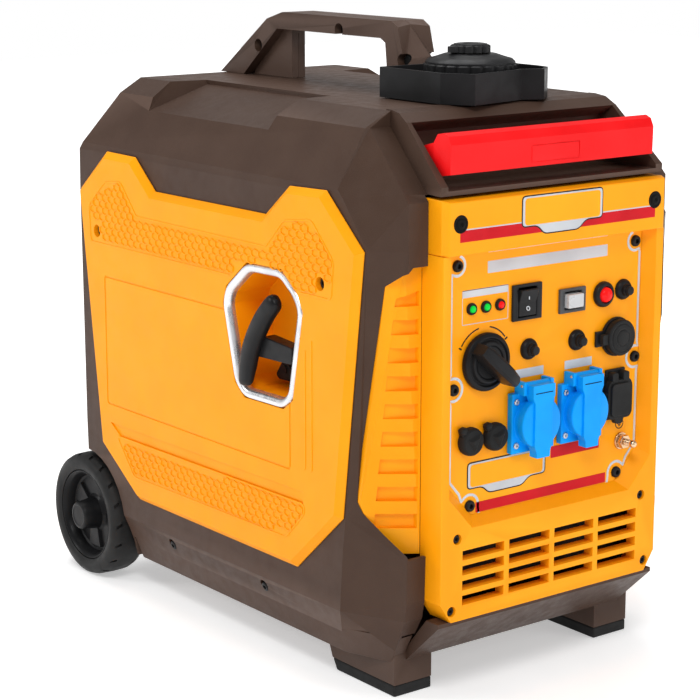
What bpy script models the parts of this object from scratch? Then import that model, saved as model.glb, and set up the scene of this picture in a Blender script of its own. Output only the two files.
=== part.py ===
"""Portable inverter generator: a brown clamshell enclosure on two wheels and two feet, with yellow
panels, a recessed control panel, a recoil starter, a folding pull handle and a fuel filler.

Lengths are in metres. Depth is measured back from the front bezel's face, x from the centre line
and z from the ground. to_world() turns (x, depth, z) into the frame of the finished part, whose
origin is the middle of its bounding box on the ground, with the front facing -Y.
"""

import math

import bmesh
import bpy
from mathutils import Matrix, Vector

# Overall sizes
BODY_WIDTH = 0.352
BODY_LENGTH = 0.530
DECK_Z = 0.5115
HANDLE_TOP_Z = 0.5765

# Walls, gaps and clearances
WALL = 0.0035
GAP = 0.0003
RUNNING = 0.0005

# Enclosure, measured from the side plane, the ends and the deck
HALF = BODY_WIDTH / 2
RIM_DROP = 0.0135
RIDGE_DROP = 0.0625
SLOPE_FOOT_DROP = 0.0695
SHOULDER_DROP = 0.1095
BOTTOM_Z = 0.032
SKIRT_Z = 0.078
CORNER_FOOT_Z = 0.134
KNEE_Z = 0.165
AXLE_TUNNEL_Z = 0.094
POST_DEPTH = 0.020
POST_INSET = 0.026
RIM_INSET = 0.031
DECK_INSET = 0.054

# Wheels
WHEEL_RADIUS = 0.0635
TYRE_WIDTH = 0.040
RIM_RADIUS = 0.043
AXLE_RADIUS = 0.007
AXLE_FROM_REAR = 0.023
WHEEL_OUTER_PROUD = 0.008
HUB_CAP_PROUD = 0.014

# Front bezel, fascia and control panel
BEZEL_INSET = 0.047
BEZEL_BOTTOM_Z = 0.077
BEZEL_DEPTH = 0.028
BEZEL_FACE = 0.0112
LOUVRE_PLATE = 0.004
LOUVRE_BACK = BEZEL_DEPTH + 0.0325
LOUVRE_OPENING_DEPTH = BEZEL_DEPTH + 0.036
FASCIA_BOTTOM_Z = 0.398
FASCIA_TOP_Z = 0.443
FASCIA_PROUD = 0.003
WINDOW_MARGIN = 0.008
WINDOW_DRAFT = 0.009
WINDOW_BOTTOM_Z = 0.158
PANEL_THICKNESS = 0.0025
GRILLE_ROWS = 4
GRILLE_COLUMNS = 4
GRILLE_BOTTOM_Z = 0.0905
GRILLE_PITCH = 0.0135
GRILLE_SLOT = 0.0085
GRILLE_HALF_WIDTH = 0.1045
GRILLE_RIB = 0.006

# Controls: (x, z) on the control panel
SOCKETS = [(-0.0205, 0.241), (0.038, 0.241)]
ENGINE_SWITCH = (-0.0265, 0.347)
ECO_SWITCH = (0.0275, 0.342)
RESET = (0.0655, 0.3425)
BREAKERS = [(0.0905, 0.344), (-0.0225, 0.3045), (0.0345, 0.305)]
KNOB = (-0.0735, 0.3006)
LAMPS_Z = 0.348
LAMPS_X = [-0.0886, -0.0726, -0.0566]
DC_SOCKET = (0.0825, 0.302)
USB_SOCKET = (0.0825, 0.246)
PARALLEL_OUTLETS = [(-0.0905, 0.233), (-0.0625, 0.233)]
GROUND = (0.0935, 0.203)
SHANK_DEPTH = 0.030
SOCKET_FLANGE = (0.050, 0.054)
SOCKET_COLLAR_RADIUS = 0.022
SOCKET_WELL_RADIUS = 0.0195
LID_RADIUS = 0.0225
KNOB_PROUD = 0.0140

# Side access panels
PANEL_BASE = 0.0003
PANEL_RAISE = 0.0070
PANEL_BEVEL = 0.0060

# Recoil starter
RECOIL_SIDE = -1
RING_WIDTH = 0.0085
POCKET_DEPTH = 0.040
POCKET_WALL = 0.0025
RECOIL_SEAT = 0.0021
HOUSING_END = HALF - POCKET_DEPTH - 0.031
CRANK_DEPTH = 0.250
CRANK_Z = 0.215

# Filler
CAP_DEPTH = 0.119
CAP_RADIUS = 0.042
NECK_RADIUS = 0.024
TRAY_WALL = 0.0028
TRAY_HEIGHT = 0.0270

# Handles
CARRY_HALF_WIDTH = 0.019
GRIP_THICKNESS = 0.0165
PULL_BAR_HALF = 0.118
PULL_PIVOT = (0.052, 0.474)

# Shanks that go through the control panel: a radius, or a width and a height
SOCKET_SHANK = 0.0205
RESET_SHANK = 0.0085
BREAKER_SHANK = 0.0065
KNOB_SHANK = 0.004
DC_SHANK = 0.012
PARALLEL_SHANK = 0.005
GROUND_SHANK = 0.0035
LAMP_SHANK = 0.003
ENGINE_SHANK = (0.027, 0.0285)
ECO_SHANK = (0.024, 0.0185)
USB_SHANK = (0.024, 0.030)

# Feet, axle brackets and the rear cover's opening
FOOT_INNER = HALF - 0.076
FOOT_OUTER = HALF - 0.034
BRACKET_INNER = HALF - 0.071
BRACKET_OUTER = HALF - 0.061
REAR_HALF = HALF - 0.045
REAR_LOW_Z = 0.150
REAR_HIGH_Z = 0.435
MUFFLER_Z = 0.215

# Sizes that follow from those above
AXLE_DEPTH = BODY_LENGTH - AXLE_FROM_REAR
MIDDLE = (AXLE_DEPTH + WHEEL_RADIUS - KNOB_PROUD) / 2
BEZEL_HALF = HALF - BEZEL_INSET
PANEL_FACE = BEZEL_FACE + GAP
SIDE_FACE = HALF + PANEL_BASE + PANEL_RAISE
TYRE_OUTER = HALF + WHEEL_OUTER_PROUD
TYRE_INNER = TYRE_OUTER - TYRE_WIDTH
COLLECTION = "portable_generator"

COLOURS = {
    "brown_plastic": ((0.043, 0.025, 0.016), 0.42, 0.0),
    "yellow_plastic": ((0.95, 0.37, 0.005), 0.38, 0.0),
    "red_plastic": ((0.85, 0.01, 0.012), 0.35, 0.0),
    "blue_plastic": ((0.005, 0.36, 0.90), 0.35, 0.0),
    "black_plastic": ((0.012, 0.012, 0.013), 0.40, 0.0),
    "white_plastic": ((0.75, 0.75, 0.73), 0.30, 0.0),
    "black_rubber": ((0.016, 0.016, 0.016), 0.75, 0.0),
    "silver_trim": ((0.70, 0.71, 0.73), 0.28, 0.9),
    "steel": ((0.55, 0.56, 0.58), 0.35, 1.0),
    "cast_aluminium": ((0.45, 0.46, 0.47), 0.55, 0.9),
    "lamp_lens": ((0.05, 0.55, 0.10), 0.25, 0.0),
}


def to_world(x, depth, z):
    return Vector((x, depth - MIDDLE, z))


def clear_scene():
    for obj in list(bpy.data.objects):
        bpy.data.objects.remove(obj)


def make_collection(name):
    collection = bpy.data.collections.new(name)
    bpy.context.scene.collection.children.link(collection)
    return collection


def make_materials():
    for name, (colour, roughness, metallic) in COLOURS.items():
        material = bpy.data.materials.new(name)
        material.use_nodes = True
        shader = material.node_tree.nodes["Principled BSDF"]
        shader.inputs["Base Color"].default_value = (*colour, 1.0)
        shader.inputs["Roughness"].default_value = roughness
        shader.inputs["Metallic"].default_value = metallic


# Shapes


def box(low, high):
    """A box between two (x, depth, z) corners."""
    bm = bmesh.new()
    bmesh.ops.create_cube(bm, size=1.0)
    low = to_world(*low)
    high = to_world(*high)
    size = high - low
    for vert in bm.verts:
        vert.co = Vector(low[i] + (vert.co[i] + 0.5) * size[i] for i in range(3))
    return bm


def turned_to(axis):
    """The rotation that takes a flat drawing's own z axis to an axis of the part. The drawing's pairs
    are then (depth, z) for X, (x, z) for Y and (x, depth) for Z."""
    rows = {
        "X": ((0, 0, 1), (1, 0, 0), (0, 1, 0)),
        "Y": ((1, 0, 0), (0, 0, -1), (0, 1, 0)),
        "Z": ((1, 0, 0), (0, 1, 0), (0, 0, 1)),
    }[axis]
    return Matrix(rows).to_4x4()


def along(axis, centre, distance):
    """The point of the part at a distance along an axis, over a drawing's (a, b) centre."""
    a, b = centre
    return {
        "X": to_world(distance, a, b),
        "Y": to_world(a, distance, b),
        "Z": to_world(a, b, distance),
    }[axis]


def taken_from(obj, placement):
    """The mesh that a curve or a modifier makes, welded and placed. The object itself goes."""
    bpy.context.scene.collection.objects.link(obj)
    graph = bpy.context.evaluated_depsgraph_get()
    mesh = bpy.data.meshes.new_from_object(obj.evaluated_get(graph))
    bm = bmesh.new()
    bm.from_mesh(mesh)
    bpy.data.meshes.remove(mesh)
    bpy.data.objects.remove(obj)
    bmesh.ops.remove_doubles(bm, verts=bm.verts, dist=1e-6)
    bmesh.ops.dissolve_limit(bm, angle_limit=math.radians(0.1), verts=bm.verts, edges=bm.edges)
    bmesh.ops.recalc_face_normals(bm, faces=bm.faces)
    bm.transform(placement)
    return bm


def prism(outline, axis, low, high):
    """A flat outline pulled along an axis."""
    curve = bpy.data.curves.new("outline", "CURVE")
    curve.dimensions = "2D"
    curve.fill_mode = "BOTH"
    curve.extrude = (high - low) / 2
    spline = curve.splines.new("POLY")
    spline.points.add(len(outline) - 1)
    for point, (a, b) in zip(spline.points, outline):
        point.co = (a, b, 0, 1)
    spline.use_cyclic_u = True
    place = Matrix.Translation(along(axis, (0, 0), (low + high) / 2))
    return taken_from(bpy.data.objects.new("outline", curve), place @ turned_to(axis))


def cylinder(radius, axis, centre, low, high, segments=24):
    """A cylinder along an axis, over a drawing's (a, b) centre."""
    bm = bmesh.new()
    bmesh.ops.create_cone(
        bm, cap_ends=True, segments=segments, radius1=radius, radius2=radius, depth=high - low
    )
    bm.transform(Matrix.Translation(along(axis, centre, (low + high) / 2)) @ turned_to(axis))
    return bm


def turned(axis, centre, steps, segments=24):
    """A turned solid: its profile's (radius, distance along the axis) pairs with a Screw modifier."""
    mesh = bpy.data.meshes.new("profile")
    sign = -1 if axis == "Y" else 1
    ends = [(0.0, steps[0][1]), *steps, (0.0, steps[-1][1])]
    points = [(radius, 0.0, sign * distance) for radius, distance in ends]
    mesh.from_pydata(points, [(i, i + 1) for i in range(len(points) - 1)], [])
    obj = bpy.data.objects.new("profile", mesh)
    screw = obj.modifiers.new("screw", "SCREW")
    screw.steps = segments
    screw.render_steps = segments
    screw.use_merge_vertices = True
    screw.merge_threshold = 1e-5
    return taken_from(obj, Matrix.Translation(along(axis, centre, 0.0)) @ turned_to(axis))


def loft(rings):
    """A closed solid through unlike rings with the same number of points, capped at both ends."""
    bm = bmesh.new()
    rows = [[bm.verts.new(point) for point in ring] for ring in rings]
    for lower, upper in zip(rows, rows[1:]):
        for i, corner in enumerate(lower):
            j = (i + 1) % len(lower)
            bm.faces.new((corner, lower[j], upper[j], upper[i]))
    bm.faces.new(rows[0])
    bm.faces.new(rows[-1])
    bmesh.ops.recalc_face_normals(bm, faces=bm.faces)
    return bm


def inset(outline, distance):
    """The outline moved inwards by a distance, with mitred corners."""
    points = [Vector(p) for p in outline]
    count = len(points)
    area = sum(
        points[i].x * points[(i + 1) % count].y - points[(i + 1) % count].x * points[i].y
        for i in range(count)
    )
    inward = 1.0 if area > 0 else -1.0
    moved = []
    for i in range(count):
        before = (points[i] - points[i - 1]).normalized()
        after = (points[(i + 1) % count] - points[i]).normalized()
        normal = Vector((-before.y, before.x)) + Vector((-after.y, after.x))
        moved.append(points[i] + inward * distance * normal / (1 + before.dot(after)))
    return [tuple(p) for p in moved]


# Objects


def add(name, bm, material, origin=None):
    """A sub-part. origin, an (x, depth, z) point, becomes the object's own origin."""
    mesh = bpy.data.meshes.new(name)
    bm.to_mesh(mesh)
    bm.free()
    obj = bpy.data.objects.new(name, mesh)
    mesh.materials.append(bpy.data.materials[material])
    if origin is not None:
        place = to_world(*origin)
        mesh.transform(Matrix.Translation(-place))
        obj.location = place
    bpy.data.collections[COLLECTION].objects.link(obj)
    return obj


def helper(name, bm):
    """A solid that only takes part in Booleans."""
    mesh = bpy.data.meshes.new(name)
    bm.to_mesh(mesh)
    bm.free()
    obj = bpy.data.objects.new(name, mesh)
    obj.hide_render = True
    obj.display_type = "WIRE"
    bpy.data.collections["cutters"].objects.link(obj)
    return obj


def combine(obj, bm, operation="DIFFERENCE", name="cut"):
    tool = bm if isinstance(bm, bpy.types.Object) else helper(f"{obj.name}_{name}", bm)
    modifier = obj.modifiers.new(name, "BOOLEAN")
    modifier.operation = operation
    modifier.solver = "EXACT"
    modifier.object = tool
    return obj


def bevel(obj, width, segments=2, angle=30):
    modifier = obj.modifiers.new("edges", "BEVEL")
    modifier.width = width
    modifier.segments = segments
    modifier.limit_method = "ANGLE"
    modifier.angle_limit = math.radians(angle)
    return obj


# Enclosure


def enclosure_levels():
    """Per level: z, then the half outline's corners as (x, depth): front post, side front, side
    where the rear slope starts, side rear and rear corner."""
    half, end = HALF, BODY_LENGTH
    return [
        (BOTTOM_Z, (half - 0.034, 0.050), (half - 0.018, 0.098), (half - 0.018, end - 0.090),
         (half - 0.020, end - 0.072), (half - 0.036, end - 0.060)),
        (SKIRT_Z, (half - 0.027, 0.024), (half, 0.080), (half, end - 0.078),
         (half, end - 0.066), (half - 0.028, end - 0.054)),
        (AXLE_TUNNEL_Z, (half - 0.0265, 0.021), (half, 0.079), (half, end - 0.077),
         (half, end - 0.028), (half - 0.027, end - 0.004)),
        (CORNER_FOOT_Z, (half - POST_INSET, POST_DEPTH), (half, 0.076), (half, end - 0.076),
         (half, end - 0.024), (half - POST_INSET, end)),
        (KNEE_Z, (half - POST_INSET, POST_DEPTH), (half, 0.072), (half, end - 0.074),
         (half, end - 0.023), (half - POST_INSET, end)),
        (DECK_Z - SHOULDER_DROP, (half - POST_INSET, POST_DEPTH), (half, 0.043),
         (half, end - 0.060), (half, end - 0.022), (half - POST_INSET, end)),
        (DECK_Z - SLOPE_FOOT_DROP, (half - POST_INSET, POST_DEPTH), (half - 0.0005, 0.076),
         (half - 0.0005, end - 0.074), (half - 0.0005, end - 0.022), (half - POST_INSET, end)),
        (DECK_Z - RIDGE_DROP, (half - 0.0265, 0.027), (half - 0.0015, 0.085),
         (half - 0.0015, end - 0.078), (half - 0.0015, end - 0.027), (half - 0.027, end - 0.006)),
        (DECK_Z - RIM_DROP, (half - 0.034, 0.083), (half - RIM_INSET, 0.085),
         (half - RIM_INSET, end - 0.052), (half - 0.034, end - 0.049), (half - 0.050, end - 0.049)),
        (DECK_Z, (half - 0.056, 0.082), (half - DECK_INSET, 0.084),
         (half - DECK_INSET, end - 0.053), (half - 0.056, end - 0.051), (half - 0.070, end - 0.051)),
    ]


def enclosure(wall):
    """The enclosure's outer form, or with a wall its cavity, which runs out through the bottom."""
    shifts = [(-1, 1), (-1, 0.5), (-1, 0), (-1, -0.7), (-0.7, -1)]
    rings = []
    for z, *corners in enclosure_levels():
        half = [
            (x + wall * sx, depth + wall * sd)
            for (x, depth), (sx, sd) in zip(corners, shifts)
        ]
        outline = half + [(-x, depth) for x, depth in reversed(half)]
        height = z - wall
        if z in (SKIRT_Z, AXLE_TUNNEL_Z):
            height = z + 0.75 * wall
        if z == BOTTOM_Z and wall:
            height = z - 10 * wall
        rings.append([to_world(x, depth, height) for x, depth in outline])
    return loft(rings)


def roof_channel(side, margin):
    """The lowered stretch of roof beside the deck, between the front and rear shoulder blocks."""
    edge = HALF - RIM_INSET
    front = 0.2155 - margin
    rear = BODY_LENGTH - 0.116 + margin
    low = DECK_Z - 0.026 - margin
    top = DECK_Z + 0.02
    outer = edge + 0.03
    inner = HALF - 0.092 - margin
    lean = 0.014
    ring = [
        (outer, front, low - 0.001), (outer, rear, low - 0.001), (edge + 0.008, rear, low),
        (inner, rear, DECK_Z - 0.004 - margin), (inner, front, DECK_Z - 0.004 - margin),
        (edge + 0.008, front, low),
    ]
    upper = [
        (outer, front - lean, top), (outer, rear + lean, top), (edge + 0.008, rear + lean, top),
        (inner, rear + lean, top), (inner, front - lean, top), (edge + 0.008, front - lean, top),
    ]
    rings = [[to_world(side * x, d, z) for x, d, z in row] for row in (ring, upper)]
    return loft(rings)


def wheel_arch(side, margin):
    ends = sorted((side * (TYRE_INNER - 0.003 - margin), side * (HALF + 0.05)))
    radius = WHEEL_RADIUS + 0.006 + margin
    return cylinder(radius, "X", (AXLE_DEPTH, WHEEL_RADIUS), ends[0], ends[1], 32)


def louvre_opening(side, margin):
    """The corner opening's outline, seen from the front. Its inner side runs behind the bezel."""
    top = FASCIA_BOTTOM_Z - 0.010
    points = [
        (BEZEL_HALF - 0.004, top), (HALF - POST_INSET - 0.005, top), (HALF - 0.013, top - 0.016),
        (HALF - 0.0050, KNEE_Z + 0.016), (HALF - 0.0075, KNEE_Z + 0.006),
        (HALF - POST_INSET - 0.002, CORNER_FOOT_Z + 0.0005), (BEZEL_HALF - 0.004, CORNER_FOOT_Z + 0.0005),
    ]
    points = inset(points, margin) if margin else points
    return [(side * x, z) for x, z in points]


def hood_outline(margin):
    """The hood's side view: up from the fascia, back along the slope and onto the deck."""
    points = [
        (0.0045, FASCIA_TOP_Z + 0.0045), (0.0045, FASCIA_TOP_Z + 0.012), (0.058, DECK_Z - 0.0080),
        (0.070, DECK_Z - 0.0010), (0.082, DECK_Z + 0.0008), (0.0895, DECK_Z + 0.0008),
        (0.0895, DECK_Z - 0.0100), (0.084, DECK_Z - 0.0120), (0.084, FASCIA_TOP_Z + 0.0045),
    ]
    return inset(points, -margin) if margin else points


def hood_solid(margin):
    """The hood narrows from the fascia back to the deck."""
    wide = BEZEL_HALF + margin
    narrow = HALF - DECK_INSET - 0.003 + margin
    rings = []
    for side in (-1, 1):
        ring = []
        for depth, z in hood_outline(margin):
            share = min(1.0, max(0.0, (depth - 0.0045) / 0.0795))
            ring.append(to_world(side * (wide + (narrow - wide) * share), depth, z))
        rings.append(ring)
    return loft(rings)


def recoil_outline():
    """The starter recess's outline on the side of the body, as (depth, z)."""
    return [
        (0.208, 0.370), (0.155, 0.3715), (0.131, 0.353), (0.1235, 0.338), (0.139, 0.2575),
        (0.153, 0.247), (0.2135, 0.246), (0.228, 0.258), (0.2457, 0.3286), (0.240, 0.3444),
    ]


def side_span(side, near, far):
    """Two x positions on one side of the body, in rising order."""
    return sorted((side * near, side * far))


def make_shells():
    cavity = helper("enclosure_cavity", enclosure(WALL))
    for side, name in ((-1, "left"), (1, "right")):
        combine(cavity, wheel_arch(side, WALL), name=f"arch_{name}")
        combine(cavity, roof_channel(side, WALL), name=f"channel_{name}")
    for side, name in ((-1, "left"), (1, "right")):
        shell = add(f"enclosure_{name}_half", enclosure(0), "brown_plastic")
        near, far = side_span(side, GAP / 2, HALF + 0.1)
        combine(shell, wheel_arch(side, 0), name="arch")
        combine(shell, roof_channel(side, 0), name="channel")
        combine(shell, cavity, name="cavity")
        half_space = box((near, -0.1, -0.1), (far, BODY_LENGTH + 0.2, 1.0))
        combine(shell, half_space, "INTERSECT", "half")
        low, high = side_span(side, -0.01, BEZEL_HALF + GAP)
        front = box((low, -0.05, -0.01), (high, 0.062, FASCIA_TOP_Z + 0.004))
        combine(shell, front, name="front_opening")
        combine(shell, prism(louvre_opening(side, 0), "Y", 0.0, LOUVRE_OPENING_DEPTH), name="louvre_opening")
        combine(shell, hood_solid(GAP), name="hood_opening")
        low, high = side_span(side, -0.01, REAR_HALF)
        rear = box((low, BODY_LENGTH - 0.02, REAR_LOW_Z), (high, BODY_LENGTH + 0.05, REAR_HIGH_Z))
        combine(shell, rear, name="rear_opening")
        neck = cylinder(NECK_RADIUS + 0.004, "Z", (0, CAP_DEPTH), DECK_Z - 0.02, DECK_Z + 0.02)
        combine(shell, neck, name="filler_hole")
        combine(shell, foot_block(side, GAP), name="foot_notch")
        low, high = side_span(side, BRACKET_INNER - GAP, BRACKET_OUTER + GAP)
        slot = box((low, BODY_LENGTH - 0.095, BOTTOM_Z - 0.01), (high, BODY_LENGTH - 0.045, 0.0800))
        combine(shell, slot, name="bracket_slot")
        low, high = side_span(side, HALF - 0.02, HALF + 0.02)
        service = box((low, 0.290, 0.170), (high, BODY_LENGTH - 0.110, 0.360))
        combine(shell, service, name="service_opening")
        if side == RECOIL_SIDE:
            hole = prism(inset(recoil_outline(), RECOIL_SEAT), "X", low, high)
            combine(shell, hole, name="recoil_opening")


# Base, feet and wheels


def foot_outline(margin):
    """A front foot's side view: upright at the front, raked at the back."""
    points = [(0.046, 0.0108), (0.046, 0.0450), (0.150, 0.0450), (0.136, 0.0108)]
    return inset(points, -margin) if margin else points


def foot_block(side, margin):
    low, high = side_span(side, FOOT_INNER - margin, FOOT_OUTER + margin)
    return prism(foot_outline(margin), "X", low, high)


def make_base():
    """The base pan carries the engine, the front skirt, both feet and the axle brackets."""
    plan = [
        (HALF - 0.060, 0.066), (HALF - 0.023, 0.104), (HALF - 0.023, BODY_LENGTH - 0.120),
        (HALF - 0.046, BODY_LENGTH - 0.095), (HALF - 0.046, BODY_LENGTH - 0.066),
    ]
    outline = plan + [(-x, depth) for x, depth in reversed(plan)]
    pan = add("base_pan", prism(outline, "Z", 0.030, 0.036), "brown_plastic")
    skirt = [
        (0.003, BEZEL_BOTTOM_Z - GAP), (0.003, BEZEL_BOTTOM_Z - 0.004), (0.046, 0.0325),
        (0.080, 0.0325), (0.080, 0.0350), (0.052, 0.0370), (0.0190, BEZEL_BOTTOM_Z - GAP),
    ]
    combine(pan, prism(skirt, "X", -BEZEL_HALF, BEZEL_HALF), "UNION", "skirt")
    for side, name in ((-1, "left"), (1, "right")):
        combine(pan, foot_block(side, 0), "UNION", f"foot_{name}")
        low, high = side_span(side, BRACKET_INNER, BRACKET_OUTER)
        bracket = [
            (AXLE_DEPTH - 0.062, 0.0315), (AXLE_DEPTH - 0.062, 0.0350), (AXLE_DEPTH - 0.010, 0.0790),
            (AXLE_DEPTH + 0.012, 0.0790), (AXLE_DEPTH + 0.012, 0.0500), (AXLE_DEPTH - 0.020, 0.0315),
        ]
        combine(pan, prism(bracket, "X", low, high), "UNION", f"bracket_{name}")
    bore = cylinder(AXLE_RADIUS + GAP, "X", (AXLE_DEPTH, WHEEL_RADIUS), -HALF, HALF, 16)
    combine(pan, bore, name="axle_bore")
    for side, name in ((-1, "left"), (1, "right")):
        low, high = side_span(side, FOOT_INNER, FOOT_OUTER)
        pad = [(0.046, 0.0), (0.046, 0.0105), (0.136, 0.0105), (0.130, 0.0)]
        bevel(add(f"front_foot_pad_{name}", prism(pad, "X", low, high), "black_rubber"), 0.0015)


def make_wheels():
    centre = (AXLE_DEPTH, WHEEL_RADIUS)
    for side, name in ((-1, "left"), (1, "right")):
        origin = (side * TYRE_OUTER, *centre)
        low, high = side_span(side, TYRE_INNER, TYRE_OUTER)
        crown = [
            (RIM_RADIUS + 0.006, low), (WHEEL_RADIUS - 0.004, low + 0.0005),
            (WHEEL_RADIUS, low + 0.005), (WHEEL_RADIUS, high - 0.005),
            (WHEEL_RADIUS - 0.004, high - 0.0005), (RIM_RADIUS + 0.006, high),
        ]
        tyre = add(f"tyre_{name}", turned("X", centre, crown, 36), "black_rubber", origin)
        bore = cylinder(RIM_RADIUS, "X", centre, low - 0.01, high + 0.01, 36)
        combine(tyre, bore, name="rim_seat")
        rim = cylinder(RIM_RADIUS - GAP, "X", centre, low + 0.002, high - 0.003, 36)
        hub = add(f"wheel_hub_{name}", rim, "black_plastic", origin)
        face = side_span(side, TYRE_OUTER - 0.014, TYRE_OUTER + 0.01)
        dish = cylinder(RIM_RADIUS - 0.008, "X", centre, face[0], face[1], 24)
        combine(hub, dish, name="dish")
        boss = side_span(side, TYRE_OUTER - 0.020, HALF + HUB_CAP_PROUD)
        combine(hub, cylinder(0.014, "X", centre, boss[0], boss[1], 16), "UNION", "boss")
        hole = side_span(side, TYRE_INNER - 0.01, HALF + HUB_CAP_PROUD - 0.003)
        combine(hub, cylinder(AXLE_RADIUS + GAP, "X", centre, hole[0], hole[1], 16), name="bore")
    reach = HALF + HUB_CAP_PROUD - 0.004
    add("wheel_axle", cylinder(AXLE_RADIUS, "X", centre, -reach, reach, 16), "steel")


# Panels


def side_panel_outline():
    """The access panel's outline on the side of the body, as (depth, z)."""
    top = DECK_Z
    end = BODY_LENGTH
    return [
        (0.045, top - 0.1105), (0.097, top - 0.0645), (0.149, top - 0.0665),
        (0.185, top - 0.0955), (end - 0.164, top - 0.0965), (end - 0.129, top - 0.0675),
        (end - 0.078, top - 0.0670), (end - 0.0275, top - 0.1075), (end - 0.060, 0.147),
        (end - 0.126, 0.103), (0.141, 0.103), (0.074, 0.164),
    ]


def make_side_panels():
    outline = side_panel_outline()
    for side, name in ((-1, "left"), (1, "right")):
        base = side * (HALF + PANEL_BASE)
        step = side * (HALF + PANEL_BASE + 0.0012)
        face = side * SIDE_FACE
        rings = [
            [to_world(base, d, z) for d, z in outline],
            [to_world(step, d, z) for d, z in outline],
            [to_world(face, d, z) for d, z in inset(outline, PANEL_BEVEL)],
        ]
        panel = add(f"access_panel_{name}", loft(rings), "yellow_plastic")
        if side == RECOIL_SIDE:
            low, high = side_span(side, HALF - 0.01, SIDE_FACE + 0.01)
            combine(panel, prism(inset(recoil_outline(), -GAP), "X", low, high), name="recoil_hole")


def make_corner_louvres():
    for side, name in ((-1, "left"), (1, "right")):
        outline = louvre_opening(side, 0.0006)
        outline = [(side * max(side * x, BEZEL_HALF + GAP), z) for x, z in outline]
        front = []
        for x, z in outline:
            share = (z - KNEE_Z - 0.015) / (DECK_Z - SHOULDER_DROP - KNEE_Z - 0.044)
            slope = 0.73 - 0.51 * min(1.0, max(0.0, share))
            depth = BEZEL_DEPTH + (abs(x) - BEZEL_HALF) * slope
            front.append((x, depth, z))
        rings = [
            [to_world(x, depth, z) for x, depth, z in front],
            [to_world(x, max(depth + LOUVRE_PLATE, LOUVRE_BACK), z) for x, depth, z in front],
        ]
        add(f"corner_louvre_{name}", loft(rings), "yellow_plastic")


def bezel_outline(margin):
    """The bezel's front view, with its lower corners cut off."""
    half = BEZEL_HALF - margin
    low = BEZEL_BOTTOM_Z + margin
    return [
        (-half, FASCIA_BOTTOM_Z - GAP), (-half, low + 0.018), (-half + 0.012, low),
        (half - 0.012, low), (half, low + 0.018), (half, FASCIA_BOTTOM_Z - GAP),
    ]


def window_outline(margin):
    """The control panel's window, as (x, z), with its lower corners cut off."""
    half = BEZEL_HALF - WINDOW_MARGIN - margin
    low = WINDOW_BOTTOM_Z + margin
    cut = 0.029
    return [
        (-half, FASCIA_BOTTOM_Z + 0.01), (-half, low + cut), (-half + cut * 0.9, low),
        (half - cut * 0.9, low), (half, low + cut), (half, FASCIA_BOTTOM_Z + 0.01),
    ]


def make_bezel():
    bezel = add("front_bezel", prism(bezel_outline(0), "Y", 0.0, BEZEL_DEPTH), "yellow_plastic")
    hollow = prism(bezel_outline(WALL), "Y", BEZEL_FACE, BEZEL_DEPTH + 0.01)
    combine(bezel, hollow, name="hollow")
    window = [
        [to_world(x, -0.001, z) for x, z in window_outline(0)],
        [to_world(x, BEZEL_FACE + 0.001, z) for x, z in window_outline(WINDOW_DRAFT)],
    ]
    combine(bezel, loft(window), name="window")
    pitch = (2 * GRILLE_HALF_WIDTH + GRILLE_RIB) / GRILLE_COLUMNS
    slots = bmesh.new()
    for row in range(GRILLE_ROWS):
        for column in range(GRILLE_COLUMNS):
            x = -GRILLE_HALF_WIDTH + column * pitch
            z = GRILLE_BOTTOM_Z + row * GRILLE_PITCH
            slot = box((x, -0.01, z), (x + pitch - GRILLE_RIB, 0.02, z + GRILLE_SLOT))
            join_into(slots, slot)
    combine(bezel, slots, name="slots")


def join_into(target, source):
    """Moves one bmesh's solids into another."""
    mesh = bpy.data.meshes.new("joined")
    source.to_mesh(mesh)
    source.free()
    target.from_mesh(mesh)
    bpy.data.meshes.remove(mesh)


def make_fascia():
    half = BEZEL_HALF - 0.0035
    low, high = FASCIA_BOTTOM_Z, FASCIA_TOP_Z
    rings = []
    for depth, margin in ((BEZEL_DEPTH, -0.0030), (0.004, -0.0030), (-FASCIA_PROUD, 0.0)):
        rings.append([
            to_world(x, depth, z)
            for x, z in (
                (-half + margin, low), (half - margin, low),
                (half - margin, high - margin / 2), (-half + margin, high - margin / 2),
            )
        ])
    add("fascia_panel", loft(rings), "yellow_plastic")


def make_control_panel():
    half = BEZEL_HALF - WALL - GAP
    back = PANEL_FACE + PANEL_THICKNESS
    cut = 0.034
    low = WINDOW_BOTTOM_Z - 0.006
    top = FASCIA_BOTTOM_Z - 2 * GAP
    outline = [
        (-half, top), (-half, low + cut), (-half + cut, low),
        (half - cut, low), (half, low + cut), (half, top),
    ]
    panel = add("control_panel", prism(outline, "Y", PANEL_FACE, back), "yellow_plastic")
    holes = bmesh.new()
    for (x, z), radius in round_holes():
        hole = cylinder(radius + RUNNING, "Y", (x, z), PANEL_FACE - 0.01, back + 0.01, 16)
        join_into(holes, hole)
    for (x, z), (width, height) in square_holes():
        low_corner = (x - width / 2 - RUNNING, PANEL_FACE - 0.01, z - height / 2 - RUNNING)
        high_corner = (x + width / 2 + RUNNING, back + 0.01, z + height / 2 + RUNNING)
        join_into(holes, box(low_corner, high_corner))
    combine(panel, holes, name="holes")


def round_holes():
    holes = [(place, SOCKET_SHANK) for place in SOCKETS]
    holes += [(place, BREAKER_SHANK) for place in BREAKERS]
    holes += [(place, PARALLEL_SHANK) for place in PARALLEL_OUTLETS]
    holes += [((x, LAMPS_Z), LAMP_SHANK) for x in LAMPS_X]
    holes += [(RESET, RESET_SHANK), (KNOB, KNOB_SHANK), (DC_SOCKET, DC_SHANK), (GROUND, GROUND_SHANK)]
    return holes


def square_holes():
    return [(ENGINE_SWITCH, ENGINE_SHANK), (ECO_SWITCH, ECO_SHANK), (USB_SOCKET, USB_SHANK)]


# Controls. Their heads sit a gap in front of the panel, and their shanks go through it.


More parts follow.
